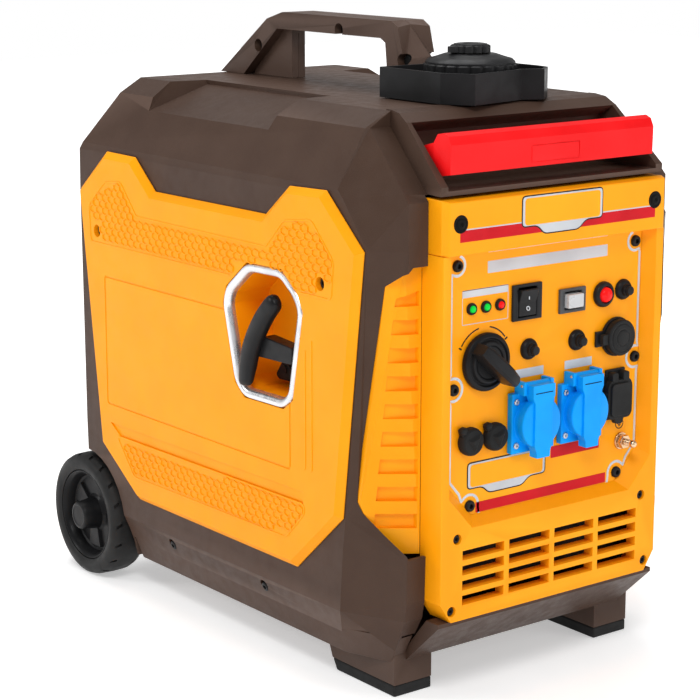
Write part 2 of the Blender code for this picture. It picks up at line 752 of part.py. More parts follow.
def centred_box(place, size, front, back):
    x, z = place
    width, height = size
    return box((x - width / 2, front, z - height / 2), (x + width / 2, back, z + height / 2))


def make_mains_sockets():
    for index, (x, z) in enumerate(SOCKETS, 1):
        seat = BEZEL_FACE
        flange_front = seat - 0.006
        collar_front = flange_front - 0.004
        body = centred_box((x, z), SOCKET_FLANGE, flange_front, seat)
        socket = add(f"mains_socket_{index}", body, "blue_plastic")
        core = turned("Y", (x, z), [
            (SOCKET_COLLAR_RADIUS, collar_front), (SOCKET_COLLAR_RADIUS, seat - 0.002),
            (SOCKET_SHANK, seat - 0.001), (SOCKET_SHANK, SHANK_DEPTH),
        ])
        combine(socket, core, "UNION", "core")
        well = cylinder(SOCKET_WELL_RADIUS, "Y", (x, z), collar_front - 0.01, seat + 0.008)
        combine(socket, well, name="well")
        hinge_z = z + 0.034
        hinge_depth = collar_front
        for ear in (-1, 1):
            low, high = sorted((x + ear * 0.0135, x + ear * 0.0175))
            lug = box((low, hinge_depth - 0.003, z + 0.0255), (high, seat, hinge_z + 0.0035))
            combine(socket, lug, "UNION", f"ear_{'left' if ear < 0 else 'right'}")
        back = collar_front - GAP
        origin = (x, hinge_depth, hinge_z)
        front = back - 0.0105
        disc = turned("Y", (x, z), [
            (LID_RADIUS - 0.003, front), (LID_RADIUS, front + 0.003), (LID_RADIUS, back),
        ])
        lid = add(f"socket_lid_{index}", disc, "blue_plastic", origin)
        neck = box((x - 0.0110, front + 0.004, z + 0.015), (x + 0.0110, back, hinge_z - 0.001))
        combine(lid, neck, "UNION", "neck")
        barrel = cylinder(0.003, "X", (hinge_depth, hinge_z), x - 0.0130, x + 0.0130, 16)
        combine(lid, barrel, "UNION", "barrel")
        rib = centred_box((x, z), (0.008, 0.038), front - 0.0025, front + 0.002)
        combine(lid, rib, "UNION", "rib")
        tab = box((x - 0.008, front + 0.005, z - 0.031), (x + 0.008, back - 0.001, z - 0.018))
        combine(lid, tab, "UNION", "tab")


def make_rocker(name, place, frame_size, shank, window, tilt, material):
    """A rocker switch: a frame clipped in the panel and a rocker that tips in its window."""
    x, z = place
    front = BEZEL_FACE - 0.0027
    frame = add(f"{name}_frame", centred_box(place, frame_size, front, BEZEL_FACE), "black_plastic")
    combine(frame, centred_box(place, shank, BEZEL_FACE - 0.001, SHANK_DEPTH), "UNION", "shank")
    combine(frame, centred_box(place, window, front - 0.01, SHANK_DEPTH - 0.003), name="window")
    pivot = front + 0.002
    reach = window[1] / 2 - 0.0012
    rise = 0.15 * window[1]
    profile = [
        (-reach, -rise), (0.0, -0.55 * rise), (reach, -rise), (reach, -0.0005),
        (0.5 * reach, 0.55 * reach), (-0.5 * reach, 0.55 * reach), (-reach, -0.0005),
    ]
    turn = math.radians(tilt)
    outline = [
        (
            pivot + depth * math.cos(turn) - up * math.sin(turn),
            z + depth * math.sin(turn) + up * math.cos(turn),
        )
        for up, depth in profile
    ]
    half = window[0] / 2 - RUNNING
    rocker = prism(outline, "X", x - half, x + half)
    add(f"{name}_rocker", rocker, material, (x, pivot, z))


def make_push_button(name, place, head, bore, shank, proud, material, frame_name):
    x, z = place
    front = BEZEL_FACE - 0.005
    outer = [(head - 0.001, front), (head, front + 0.001), (head, BEZEL_FACE - 0.0002),
             (shank, BEZEL_FACE), (shank, SHANK_DEPTH)]
    frame = add(frame_name, turned("Y", place, outer, 16), "black_plastic")
    combine(frame, cylinder(bore, "Y", place, front - 0.01, SHANK_DEPTH + 0.01, 16), name="bore")
    radius = bore - 0.0004
    stem = [(radius - 0.0008, front - proud), (radius, front - proud + 0.0008),
            (radius, SHANK_DEPTH - 0.008)]
    add(name, turned("Y", place, stem, 16), material, (x, front, z))


def make_rotary_knob():
    x, z = KNOB
    back = BEZEL_FACE
    steps = [(0.0235, back - 0.0075), (0.0255, back - 0.0060), (0.0255, back - 0.0005),
             (KNOB_SHANK, back), (KNOB_SHANK, SHANK_DEPTH)]
    knob = add("fuel_and_choke_knob", turned("Y", KNOB, steps), "black_plastic", (x, back, z))
    front = -KNOB_PROUD
    lean = math.radians(42)
    ends = []
    for along, across in ((-0.029, 0.0065), (0.029, 0.0065), (0.029, -0.0065), (-0.029, -0.0065)):
        ends.append((
            x + along * math.cos(lean) + across * math.sin(lean),
            z - along * math.sin(lean) + across * math.cos(lean),
        ))
    combine(knob, prism(ends, "Y", front, back - 0.006), "UNION", "lever")


def make_indicator_lamps():
    """One lamp board behind the panel, its lenses standing through it."""
    back = PANEL_FACE + PANEL_THICKNESS + GAP
    low = (LAMPS_X[0] - 0.008, back, LAMPS_Z - 0.008)
    high = (LAMPS_X[-1] + 0.008, back + 0.004, LAMPS_Z + 0.008)
    board = add("indicator_lamps", box(low, high), "lamp_lens")
    for index, x in enumerate(LAMPS_X, 1):
        lens = turned("Y", (x, LAMPS_Z), [
            (0.0012, PANEL_FACE - 0.0030), (0.0024, PANEL_FACE - 0.0022),
            (LAMP_SHANK, PANEL_FACE - 0.0008), (LAMP_SHANK, back + 0.001),
        ], 16)
        combine(board, lens, "UNION", f"lens_{index}")


def make_dc_outlets():
    x, z = DC_SOCKET
    seat = BEZEL_FACE
    body = add("dc_socket", cylinder(0.018, "Y", DC_SOCKET, seat - 0.0027, seat), "black_plastic")
    combine(body, cylinder(DC_SHANK, "Y", DC_SOCKET, seat - 0.001, SHANK_DEPTH), "UNION", "shank")
    base = box((x - 0.0255, seat - 0.0027, z - 0.007), (x - 0.012, seat, z + 0.007))
    combine(body, base, "UNION", "hinge_base")
    combine(body, cylinder(0.008, "Y", DC_SOCKET, seat - 0.02, SHANK_DEPTH - 0.004), name="well")
    axis = (x - 0.0215, seat - 0.0067, z)
    front = seat - 0.014
    cap = add("dc_socket_cap", turned("Y", DC_SOCKET, [
        (0.013, front), (0.0165, front + 0.003), (0.0165, seat - 0.003),
    ]), "black_rubber", axis)
    arm = box((x - 0.0230, seat - 0.0092, z - 0.005), (x - 0.010, seat - 0.0032, z + 0.005))
    combine(cap, arm, "UNION", "arm")

    x, z = USB_SOCKET
    size = (0.033, 0.041)
    body = add("usb_socket", centred_box(USB_SOCKET, size, seat - 0.0027, seat), "black_plastic")
    combine(body, centred_box(USB_SOCKET, USB_SHANK, seat - 0.001, SHANK_DEPTH), "UNION", "shank")
    combine(body, centred_box((x, z + 0.006), (0.0145, 0.007), seat - 0.02, seat + 0.012), name="port")
    axis = (x, seat - 0.0067, z + 0.0235)
    cap = add("usb_socket_cap", centred_box((x, z - 0.0005), (0.031, 0.038), seat - 0.0115, seat - 0.003),
              "black_rubber", axis)
    bevel(cap, 0.002, 2)
    arm = box((x - 0.009, seat - 0.0092, z + 0.015), (x + 0.009, seat - 0.0032, z + 0.0250))
    combine(cap, arm, "UNION", "arm")
    lug = box((x - 0.012, seat - 0.0027, z + 0.018), (x + 0.012, seat, z + 0.0265))
    combine(body, lug, "UNION", "hinge_base")


def make_parallel_outlets():
    for index, (x, z) in enumerate(PARALLEL_OUTLETS, 1):
        front = BEZEL_FACE - 0.0095
        steps = [(0.0110, front), (0.0125, front + 0.0015), (0.0125, BEZEL_FACE - 0.001),
                 (PARALLEL_SHANK, BEZEL_FACE), (PARALLEL_SHANK, 0.024)]
        cap = add(f"parallel_outlet_cap_{index}", turned("Y", (x, z), steps, 16), "black_rubber",
                  (x, front, z))
        strap = cylinder(0.0035, "Y", (x - 0.010, z + 0.0105), front + 0.003, BEZEL_FACE - 0.0015, 16)
        combine(cap, strap, "UNION", "strap_end")


def make_ground_terminal():
    front = BEZEL_FACE
    steps = [(0.0030, front - 0.0195), (0.0035, front - 0.0190), (0.0035, front - 0.0085),
             (0.0062, front - 0.0080), (0.0066, front - 0.0075), (0.0066, front - 0.0020),
             (0.0078, front - 0.0018), (0.0078, front - 0.0002), (GROUND_SHANK, front),
             (GROUND_SHANK, 0.026)]
    add("ground_terminal", turned("Y", GROUND, steps, 12), "steel")


# Recoil starter


def make_recoil():
    side = RECOIL_SIDE
    outline = recoil_outline()
    low, high = side_span(side, HALF + 0.0006, SIDE_FACE + 0.0005)
    ring = add("recoil_bezel", prism(outline, "X", low, high), "silver_trim")
    combine(ring, prism(inset(outline, RING_WIDTH), "X", low - 0.01, high + 0.01), name="opening")
    low, high = side_span(side, HALF + GAP, HALF - POCKET_DEPTH)
    pocket = add("recoil_pocket", prism(inset(outline, 0.0026), "X", low, high), "yellow_plastic")
    floor = side * (HALF - POCKET_DEPTH + POCKET_WALL)
    inner = prism(inset(outline, RING_WIDTH), "X", *sorted((floor, side * (HALF + 0.01))))
    combine(pocket, inner, name="inside")
    rope = side_span(side, HALF - POCKET_DEPTH - 0.01, HALF)
    combine(pocket, cylinder(0.008, "X", (0.157, 0.295), rope[0], rope[1], 16), name="rope_hole")
    guide = side_span(side, HALF - POCKET_DEPTH + POCKET_WALL + GAP, HALF - 0.026)
    guide_outline = [
        (0.176, 0.2645), (0.180, 0.2600), (0.208, 0.2590), (0.212, 0.2630), (0.200, 0.2790),
        (0.192, 0.2790),
    ]
    add("rope_guide", prism(guide_outline, "X", guide[0], guide[1]), "black_plastic")

    grip_outline = [
        (0.1695, 0.343), (0.185, 0.330), (0.2015, 0.312), (0.213, 0.2915), (0.2185, 0.273),
        (0.2190, 0.259), (0.212, 0.2505), (0.203, 0.2495), (0.198, 0.256), (0.197, 0.272),
        (0.191, 0.290), (0.179, 0.3155), (0.165, 0.332), (0.1555, 0.341), (0.160, 0.347),
    ]
    over = SIDE_FACE + 0.0005 + GAP
    low, high = side_span(side, over, HALF + 0.0135)
    origin = (side * HALF, 0.193, 0.295)
    grip = add("recoil_grip", prism(grip_outline, "X", low, high), "black_plastic", origin)
    back = [(d, z) for d, z in grip_outline if z > 0.2655] + [(0.1975, 0.2655), (0.2180, 0.2655)]
    back = back[:5] + [(0.2175, 0.2660), (0.1975, 0.2660)] + back[5:-2]
    low, high = side_span(side, HALF, over + 0.002)
    combine(grip, prism(inset(back, 0.0012), "X", low, high), "UNION", "back")
    low, high = side_span(side, HALF - 0.010, HALF + 0.002)
    stem = [(0.146, 0.287), (0.146, 0.303), (0.191, 0.303), (0.201, 0.297), (0.201, 0.287)]
    combine(grip, prism(stem, "X", low, high), "UNION", "stem")
    span = side_span(side, HALF - POCKET_DEPTH - 0.003, HOUSING_END)
    rims = [(0.072, span[0]), (0.078, span[0] + 0.004), (0.078, span[1])]
    add("recoil_housing", turned("X", (CRANK_DEPTH, CRANK_Z), rims), "black_plastic")


# Filler


def tray_outline():
    """The drip tray's plan, with its spout at the front right."""
    return [
        (-0.061, 0.1720), (-0.061, 0.0875), (-0.045, 0.0600), (0.022, 0.0745), (0.040, 0.0650),
        (0.058, 0.0800), (0.061, 0.0980), (0.061, 0.1720),
    ]


def make_filler():
    centre = (0.0, CAP_DEPTH)
    deck = DECK_Z + 0.0008 + GAP
    outline = tray_outline()
    tray = add("drip_tray", prism(outline, "Z", deck, deck + TRAY_HEIGHT), "black_plastic")
    inside = prism(inset(outline, TRAY_WALL), "Z", deck + 0.003, deck + TRAY_HEIGHT + 0.01)
    combine(tray, inside, name="inside")
    combine(tray, cylinder(NECK_RADIUS + 0.001, "Z", centre, deck - 0.01, deck + 0.01), name="neck")
    foot = deck + 0.0045
    rim = DECK_Z + 0.0345
    cap_steps = [
        (CAP_RADIUS, foot), (CAP_RADIUS, rim), (CAP_RADIUS - 0.006, rim + 0.004),
        (0.018, rim + 0.006),
    ]
    cap = add("fuel_cap", turned("Z", centre, cap_steps, 28), "black_plastic", (0, CAP_DEPTH, rim))
    throat = cylinder(NECK_RADIUS + 0.001, "Z", centre, foot - 0.01, rim - 0.004)
    combine(cap, throat, name="throat")
    knob_low = rim + 0.006 + GAP
    knob = turned("Z", centre, [
        (0.015, knob_low), (0.018, knob_low + 0.002), (0.018, knob_low + 0.0075),
        (0.0165, knob_low + 0.0085),
    ], 24)
    knob = add("vent_knob", knob, "black_plastic", (0, CAP_DEPTH, knob_low))
    lever = box((-0.024, CAP_DEPTH - 0.002, knob_low + 0.003), (-0.012, CAP_DEPTH + 0.006, knob_low + 0.0075))
    combine(knob, lever, "UNION", "lever")
    low = (-0.105, 0.100, DECK_Z - 0.115)
    high = (0.105, 0.270, DECK_Z - 0.030)
    tank = add("fuel_tank", box(low, high), "black_plastic")
    bevel(tank, 0.008, 2)
    neck = cylinder(NECK_RADIUS, "Z", centre, DECK_Z - 0.040, rim - 0.005, 24)
    combine(tank, neck, "UNION", "neck")
    bore = cylinder(NECK_RADIUS - 0.003, "Z", centre, DECK_Z - 0.105, rim + 0.01)
    combine(tank, bore, name="bore")
    hollow = box((-0.102, 0.103, DECK_Z - 0.112), (0.102, 0.267, DECK_Z - 0.033))
    combine(tank, hollow, name="inside")


# Handles


def make_carry_handle():
    """Each half runs from the parting plane, where the front leg leans furthest forward, outwards."""
    top = HANDLE_TOP_Z
    under = top - GRIP_THICKNESS
    foot = DECK_Z + GAP
    rear = BODY_LENGTH - 0.043
    inner = [
        (rear, foot), (rear - 0.082, top - 0.0075), (rear - 0.108, top), (0.212, top),
        (0.204, top - 0.0035), (0.1745, top - 0.0305), (0.1740, foot), (0.2120, foot),
        (0.2170, under - 0.004), (0.2240, under), (rear - 0.099, under),
        (rear - 0.050, DECK_Z + 0.008), (rear - 0.041, foot),
    ]
    outer = list(inner)
    outer[3:7] = [(0.208, top), (0.1985, top - 0.0055), (0.1890, top - 0.0385), (0.1815, foot)]
    web = [(0.378, foot), (rear - 0.045, foot), (rear - 0.055, top - 0.030), (rear - 0.095, top - 0.010),
           (0.378, top - 0.010)]
    for side, name in ((-1, "left"), (1, "right")):
        spans = ((side * GAP / 2, inner), (side * CARRY_HALF_WIDTH, outer))
        rings = [[to_world(x, d, z) for d, z in ring] for x, ring in spans]
        half = add(f"carry_handle_{name}_half", loft(rings), "brown_plastic")
        bevel(half, 0.003, 2, 60)
        low, high = side_span(side, GAP / 2, 0.008)
        combine(half, prism(web, "X", low, high), "UNION", "web")


def make_hood():
    hood = add("pull_handle_hood", hood_solid(0), "brown_plastic")
    recess = [
        (-0.010, FASCIA_TOP_Z + 0.0085), (0.072, FASCIA_TOP_Z + 0.0085),
        (0.072, DECK_Z - 0.018), (0.060, DECK_Z - 0.0105), (0.030, DECK_Z + 0.02),
        (-0.010, DECK_Z + 0.02),
    ]
    low_half = BEZEL_HALF - 0.007
    rings = []
    for side in (-1, 1):
        rings.append([
            to_world(side * (low_half - 0.0045 * max(0.0, depth) / 0.058), depth, z)
            for depth, z in recess
        ])
    combine(hood, loft(rings), name="recess")
    under = box((-BEZEL_HALF + 0.012, 0.078, FASCIA_TOP_Z), (BEZEL_HALF - 0.012, 0.083, DECK_Z - 0.014))
    combine(hood, under, name="underside")


def make_pull_handle():
    """A bar with an arm at each end, which swings up on a pivot inside the hood."""
    bar = [(0.0060, 0.4645), (0.0055, 0.4890), (0.0090, 0.4960), (0.0150, 0.4985), (0.0230, 0.4970),
           (0.0280, 0.4900), (0.0290, 0.4700), (0.0180, 0.4625)]
    origin = (0.0, *PULL_PIVOT)
    half = min(PULL_BAR_HALF, BEZEL_HALF - 0.0115)
    handle = add("pull_handle", prism(bar, "X", -half, half), "red_plastic", origin)
    depth, z = PULL_PIVOT
    for side, name in ((-1, "left"), (1, "right")):
        low, high = side_span(side, half - 0.014, half - 0.001)
        arm = [(0.020, 0.4665), (0.020, 0.4920), (depth + 0.001, z + 0.0085), (depth + 0.0085, z),
               (depth + 0.001, z - 0.0085)]
        combine(handle, prism(arm, "X", low, high), "UNION", f"arm_{name}")
    combine(handle, cylinder(0.0042, "X", (depth, z), -half - 0.01, half + 0.01, 20), name="pin_bore")
    for side, name in ((-1, "left"), (1, "right")):
        low, high = side_span(side, half - 0.019, BEZEL_HALF - 0.0090)
        pin = cylinder(0.004, "X", (depth, z), low, high, 20)
        combine(bpy.data.objects["pull_handle_hood"], pin, "UNION", f"pin_{name}")


# Rear and inside


def make_rear_cover():
    outline = [
        (-REAR_HALF + GAP, REAR_LOW_Z + GAP), (REAR_HALF - GAP, REAR_LOW_Z + GAP),
        (REAR_HALF - GAP, REAR_HIGH_Z - GAP), (-REAR_HALF + GAP, REAR_HIGH_Z - GAP),
    ]
    end = BODY_LENGTH
    cover = add("rear_cover", prism(outline, "Y", end - 0.012, end + 0.003), "yellow_plastic")
    combine(cover, prism(inset(outline, 0.004), "Y", end - 0.02, end - 0.001), name="hollow")
    slots = bmesh.new()
    for row in range(9):
        z = REAR_LOW_Z + 0.135 + row * 0.015
        join_into(slots, box((-0.095, end - 0.03, z), (0.095, end + 0.02, z + 0.007)))
    combine(cover, slots, name="slots")
    outlet = cylinder(0.024, "Y", (0.045, MUFFLER_Z), end - 0.03, end + 0.02, 24)
    combine(cover, outlet, name="exhaust_hole")


def make_inside():
    end = BODY_LENGTH
    muffler = add("muffler", box((-0.085, end - 0.130, 0.160), (0.095, end - 0.040, 0.270)), "steel")
    bevel(muffler, 0.012, 2)
    pipe = cylinder(0.015, "Y", (0.045, MUFFLER_Z), end - 0.060, end - 0.004, 20)
    combine(muffler, pipe, "UNION", "tail_pipe")
    combine(muffler, cylinder(0.012, "Y", (0.045, MUFFLER_Z), end - 0.09, end + 0.02, 20), name="bore")
    inverter = box((-0.100, 0.045, 0.170), (0.100, 0.080, 0.370))
    add("inverter_module", inverter, "cast_aluminium")

    low = (0.033 - HOUSING_END, CRANK_DEPTH - 0.065, 0.0363)
    high = (0.030, CRANK_DEPTH + 0.060, CRANK_Z + 0.065)
    block = add("engine_and_alternator", box(low, high), "cast_aluminium")
    centre = (CRANK_DEPTH, CRANK_Z)
    head = box((-0.050, CRANK_DEPTH + 0.05, 0.160), (0.015, CRANK_DEPTH + 0.120, 0.250))
    combine(block, head, "UNION", "cylinder_head")
    combine(block, cylinder(0.080, "X", centre, 0.025, 0.110, 24), "UNION", "stator")
    combine(block, cylinder(0.062, "X", centre, 0.034, 0.130, 24), name="stator_bore")
    combine(block, cylinder(0.0125, "X", centre, -HALF, 0.06, 16), name="crank_bore")
    steps = [
        (0.010, -HOUSING_END), (0.010, 0.005 - HOUSING_END), (0.068, 0.006 - HOUSING_END),
        (0.068, 0.025 - HOUSING_END), (0.012, 0.026 - HOUSING_END),
        (0.012, 0.0400), (0.058, 0.0410), (0.058, 0.0950), (0.010, 0.0960), (0.010, 0.1200),
    ]
    origin = (0.0, *centre)
    add("crankshaft_and_rotor", turned("X", centre, steps, 24), "steel", origin)


def shade_round():
    for obj in bpy.data.collections[COLLECTION].objects:
        obj.data.shade_smooth()
        obj.data.set_sharp_from_angle(angle=math.radians(28))


def main():
    clear_scene()
    make_collection(COLLECTION)
    make_collection("cutters").hide_render = True
    make_materials()
    make_shells()
    make_base()
    make_wheels()
    make_side_panels()
    make_corner_louvres()
    make_bezel()
    make_fascia()
    make_control_panel()
    make_mains_sockets()
    make_rocker("engine_switch", ENGINE_SWITCH, (0.034, 0.032), ENGINE_SHANK, (0.021, 0.026), 9,
                "black_plastic")
    make_rocker("eco_switch", ECO_SWITCH, (0.031, 0.022), ECO_SHANK, (0.020, 0.016), -9,
                "white_plastic")
    make_push_button("reset_button", RESET, 0.0115, 0.0071, RESET_SHANK, 0.005, "red_plastic",
                     "reset_button_bezel")
    for index, place in enumerate(BREAKERS, 1):
        make_push_button(f"breaker_button_{index}", place, 0.009, 0.0047, BREAKER_SHANK, 0.006,
                         "black_plastic", f"breaker_{index}")
    make_rotary_knob()
    make_indicator_lamps()
    make_dc_outlets()
    make_parallel_outlets()
    make_ground_terminal()
    make_recoil()
    make_filler()
    make_carry_handle()
    make_hood()
    make_pull_handle()
    make_rear_cover()
    make_inside()
    shade_round()


main()
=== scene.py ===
"""Looks of the portable generator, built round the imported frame.

Lengths are in metres. A place on the front is given as (x, z) with a depth behind the bezel's face,
and a place on a side as (depth, z). world() turns (x, depth, z) into the frame's own axes.
"""

import math

import bmesh
import bpy
from mathutils import Matrix, Vector

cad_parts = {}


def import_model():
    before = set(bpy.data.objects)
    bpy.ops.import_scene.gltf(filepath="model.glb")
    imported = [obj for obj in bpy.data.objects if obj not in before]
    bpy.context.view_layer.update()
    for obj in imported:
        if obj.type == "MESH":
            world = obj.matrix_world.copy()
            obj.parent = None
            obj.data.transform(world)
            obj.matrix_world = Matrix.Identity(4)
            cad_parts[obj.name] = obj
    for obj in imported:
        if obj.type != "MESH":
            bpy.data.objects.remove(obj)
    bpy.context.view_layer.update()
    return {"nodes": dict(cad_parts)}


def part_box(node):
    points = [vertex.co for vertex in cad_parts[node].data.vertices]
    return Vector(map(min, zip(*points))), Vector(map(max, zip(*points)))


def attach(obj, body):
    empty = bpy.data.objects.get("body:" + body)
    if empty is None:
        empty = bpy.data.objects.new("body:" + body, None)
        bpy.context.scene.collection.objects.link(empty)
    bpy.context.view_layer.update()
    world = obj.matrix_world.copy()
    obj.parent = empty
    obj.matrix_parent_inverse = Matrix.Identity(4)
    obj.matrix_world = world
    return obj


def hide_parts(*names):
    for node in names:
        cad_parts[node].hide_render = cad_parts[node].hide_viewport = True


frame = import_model()
NODES = frame["nodes"]

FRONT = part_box("front_bezel")[0].y
PANEL_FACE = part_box("control_panel")[0].y - FRONT
SIDE_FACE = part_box("access_panel_right")[1].x
WALL_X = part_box("enclosure_right_half")[1].x
FASCIA_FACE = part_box("fascia_panel")[0].y - FRONT
PRINT = 0.00015
LEFT, RIGHT = -1, 1
AMBIENT = 0.38

# Places on the front, (x, z)
KNOB = (-0.0735, 0.3006)
DC_OUTLET = (0.0825, 0.302)
USB_OUTLET = (0.0825, 0.246)
GROUND_STUD = (0.0935, 0.203)
EARTH_SYMBOL = (0.0914, 0.2195)
CONTROL_SCREWS = [(0.1046, 0.3865), (0.1076, 0.28), (0.088, 0.1743)]
BEZEL_SCREWS = [(-0.1105, 0.151), (0.1105, 0.151), (-0.1165, 0.087), (0.1165, 0.087)]
BEZEL_SCREW_DEPTH = 0.0038

# Depths of the screws along the wall's foot, and their height
SKIRT_SCREWS = (0.2, 0.355)
SKIRT_SCREW_Z = 0.068


def world(x, depth, z):
    return Vector((x, FRONT + depth, z))


def centre(node):
    low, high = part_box(node)
    return (low + high) / 2


# Materials


def link(tree, source, output, target, name):
    tree.links.new(source.outputs[output], target.inputs[name])


def add_node(tree, kind, **values):
    node = tree.nodes.new(kind)
    for name, value in values.items():
        if name in node.inputs:
            node.inputs[name].default_value = value
        else:
            setattr(node, name, value)
    return node


def noise(tree, coordinates, scale, detail=3.0):
    node = add_node(tree, "ShaderNodeTexNoise", Scale=scale, Detail=detail)
    link(tree, coordinates, "Vector", node, "Vector")
    return node


def span(tree, source, output, low, high, from_low=0.35, from_high=0.65):
    node = add_node(tree, "ShaderNodeMapRange")
    node.inputs["From Min"].default_value = from_low
    node.inputs["From Max"].default_value = from_high
    node.inputs["To Min"].default_value = low
    node.inputs["To Max"].default_value = high
    link(tree, source, output, node, "Value")
    return node


def surface(name, dark, light, rough, grain=900.0, relief=0.05, stretch=(1, 1, 1), wear=0.0,
            pits=0.0, **fixed):
    """A moulded or metal surface: mottled colour, uneven gloss, fine grain and a painted highlight that
    makes convex edges paler.
    """
    material = bpy.data.materials.new(name)
    material.use_nodes = True
    tree = material.node_tree
    shader = tree.nodes["Principled BSDF"]
    shader.inputs["Specular IOR Level"].default_value = 0.13
    for socket, value in fixed.items():
        shader.inputs[socket.replace("_", " ")].default_value = value
    place = add_node(tree, "ShaderNodeTexCoord")
    coordinates = add_node(tree, "ShaderNodeMapping", Scale=stretch)
    link(tree, place, "Object", coordinates, "Vector")
    cloud = noise(tree, coordinates, 22.0)
    mix = add_node(tree, "ShaderNodeMixRGB", Color1=(*dark, 1), Color2=(*light, 1))
    link(tree, span(tree, cloud, "Fac", 0.0, 1.0), "Result", mix, "Fac")
    colour = mix
    # Painted highlight: convex edges, found by Pointiness, get a paler copy of the light colour.
    if wear:
        geometry = add_node(tree, "ShaderNodeNewGeometry")
        edge = span(tree, geometry, "Pointiness", 0.0, wear, 0.52, 0.62)
        highlighted_edge = add_node(tree, "ShaderNodeMixRGB", Color2=(*[min(1.0, 2.0 * c + 0.03) for c in light], 1))
        link(tree, edge, "Result", highlighted_edge, "Fac")
        link(tree, colour, "Color", highlighted_edge, "Color1")
        colour = highlighted_edge
    link(tree, colour, "Color", shader, "Base Color")
    smudge = noise(tree, coordinates, 90.0, 5.0)
    link(tree, span(tree, smudge, "Fac", rough - 0.07, rough + 0.07), "Result", shader, "Roughness")
    fine = noise(tree, coordinates, grain, 2.0)
    bump = add_node(tree, "ShaderNodeBump", Strength=relief, Distance=0.0006)
    link(tree, fine, "Fac", bump, "Height")
    if pits:
        cells = add_node(tree, "ShaderNodeTexVoronoi", Scale=pits)
        link(tree, coordinates, "Vector", cells, "Vector")
        leather = add_node(tree, "ShaderNodeBump", Strength=0.16, Distance=0.0006)
        link(tree, cells, "Distance", leather, "Height")
        link(tree, bump, "Normal", leather, "Normal")
        bump = leather
    link(tree, bump, "Normal", shader, "Normal")
    return material


# Each surface: its darker and lighter colour, its roughness, and what else surface() takes
# The edge strength among the extras paints a highlight on convex edges.
SURFACES = {
    "brown_plastic": ((0.058, 0.0325, 0.0225), (0.066, 0.038, 0.0265), 0.4, {"wear": 0.35, "pits": 1500.0}),
    "yellow_plastic": ((0.96, 0.335, 0.002), (1.0, 0.355, 0.003), 0.36,
                       {"wear": 0.12, "grain": 1300.0, "relief": 0.04}),
    "red_plastic": ((0.8, 0.004, 0.006), (0.92, 0.008, 0.01), 0.36, {"wear": 0.1}),
    "blue_plastic": ((0.0, 0.28, 0.84), (0.0, 0.34, 0.95), 0.38, {"wear": 0.1}),
    "black_plastic": ((0.007, 0.007, 0.0075), (0.013, 0.013, 0.014), 0.36, {"wear": 0.25}),
    "grey_plastic": ((0.055, 0.057, 0.06), (0.08, 0.083, 0.088), 0.38, {"wear": 0.2}),
    "white_plastic": ((0.62, 0.63, 0.64), (0.78, 0.79, 0.8), 0.28, {"Transmission_Weight": 0.15}),
    "black_rubber": ((0.009, 0.009, 0.009), (0.017, 0.017, 0.017), 0.58, {"wear": 0.2, "relief": 0.09}),
    "tyre": ((0.01, 0.01, 0.01), (0.022, 0.022, 0.022), 0.5, {"wear": 0.25, "relief": 0.12}),
    "silver_trim": ((0.6, 0.61, 0.63), (0.74, 0.75, 0.77), 0.3, {"Metallic": 0.85, "relief": 0.02}),
    "steel": ((0.48, 0.48, 0.49), (0.66, 0.66, 0.67), 0.3, {"stretch": (1, 1, 9), "Metallic": 1.0}),
    "brass": ((0.62, 0.4, 0.22), (0.8, 0.6, 0.4), 0.26, {"Metallic": 1.0}),
    "cast_aluminium": ((0.36, 0.37, 0.38), (0.5, 0.51, 0.52), 0.52,
                       {"Metallic": 0.9, "relief": 0.25, "grain": 420.0}),
    "printed_black": ((0.01, 0.01, 0.01), (0.018, 0.018, 0.018), 0.45, {}),
    "printed_white": ((0.5, 0.52, 0.55), (0.58, 0.6, 0.63), 0.42, {}),
    "printed_silver": ((0.46, 0.5, 0.54), (0.58, 0.62, 0.66), 0.34, {"Metallic": 0.35}),
    "printed_red": ((0.5, 0.002, 0.008), (0.62, 0.004, 0.012), 0.4, {}),
    "green_lens": ((0.0, 0.45, 0.03), (0.01, 0.62, 0.06), 0.16,
                   {"Emission_Color": (0.0, 0.8, 0.08, 1), "Emission_Strength": 0.25}),
    "red_lens": ((0.75, 0.004, 0.004), (0.92, 0.01, 0.01), 0.16,
                 {"Emission_Color": (1.0, 0.02, 0.02, 1), "Emission_Strength": 0.25}),
    # Near-black painted shade for holes, slots and the bottoms of screw wells.
    "hole_shade_black": ((0.003, 0.003, 0.003), (0.006, 0.006, 0.006), 0.7, {}),
}
MATERIALS = {name: surface(name, *colours, **more) for name, (*colours, more) in SURFACES.items()}


# Shapes


def on_plane(axis, distance, a, b):
    """A point of an outline, at a distance along the axis that the outline's plane faces."""
    return world(*{"X": (distance, a, b), "Y": (a, distance, b), "Z": (a, b, distance)}[axis])


def slab(outline, axis, low, high):
    """A flat outline pulled along an axis. Its pairs are (depth, z) for X, (x, z) for Y and (x, depth)
    for Z."""
    bm = bmesh.new()
    rows = []
    for distance in (low, high):
        rows.append([bm.verts.new(on_plane(axis, distance, a, b)) for a, b in outline])
    count = len(outline)
    for i in range(count):
        j = (i + 1) % count
        bm.faces.new((rows[0][i], rows[0][j], rows[1][j], rows[1][i]))
    bm.faces.new(rows[0])
    bm.faces.new(reversed(rows[1]))
    bmesh.ops.recalc_face_normals(bm, faces=bm.faces)
    return bm


def ring_slab(outer, inner, axis, low, high):
    """A flat frame between two outlines with the same number of points."""
    bm = bmesh.new()
    rows = []
    for outline in (outer, inner):
        for distance in (low, high):
            rows.append([bm.verts.new(on_plane(axis, distance, a, b)) for a, b in outline])
    outer_low, outer_high, inner_low, inner_high = rows
    for i in range(len(outer)):
        j = (i + 1) % len(outer)
        for a, b in ((outer_low, outer_high), (outer_high, inner_high), (inner_high, inner_low),
                     (inner_low, outer_low)):
            bm.faces.new((a[i], a[j], b[j], b[i]))
    bmesh.ops.recalc_face_normals(bm, faces=bm.faces)
    return bm


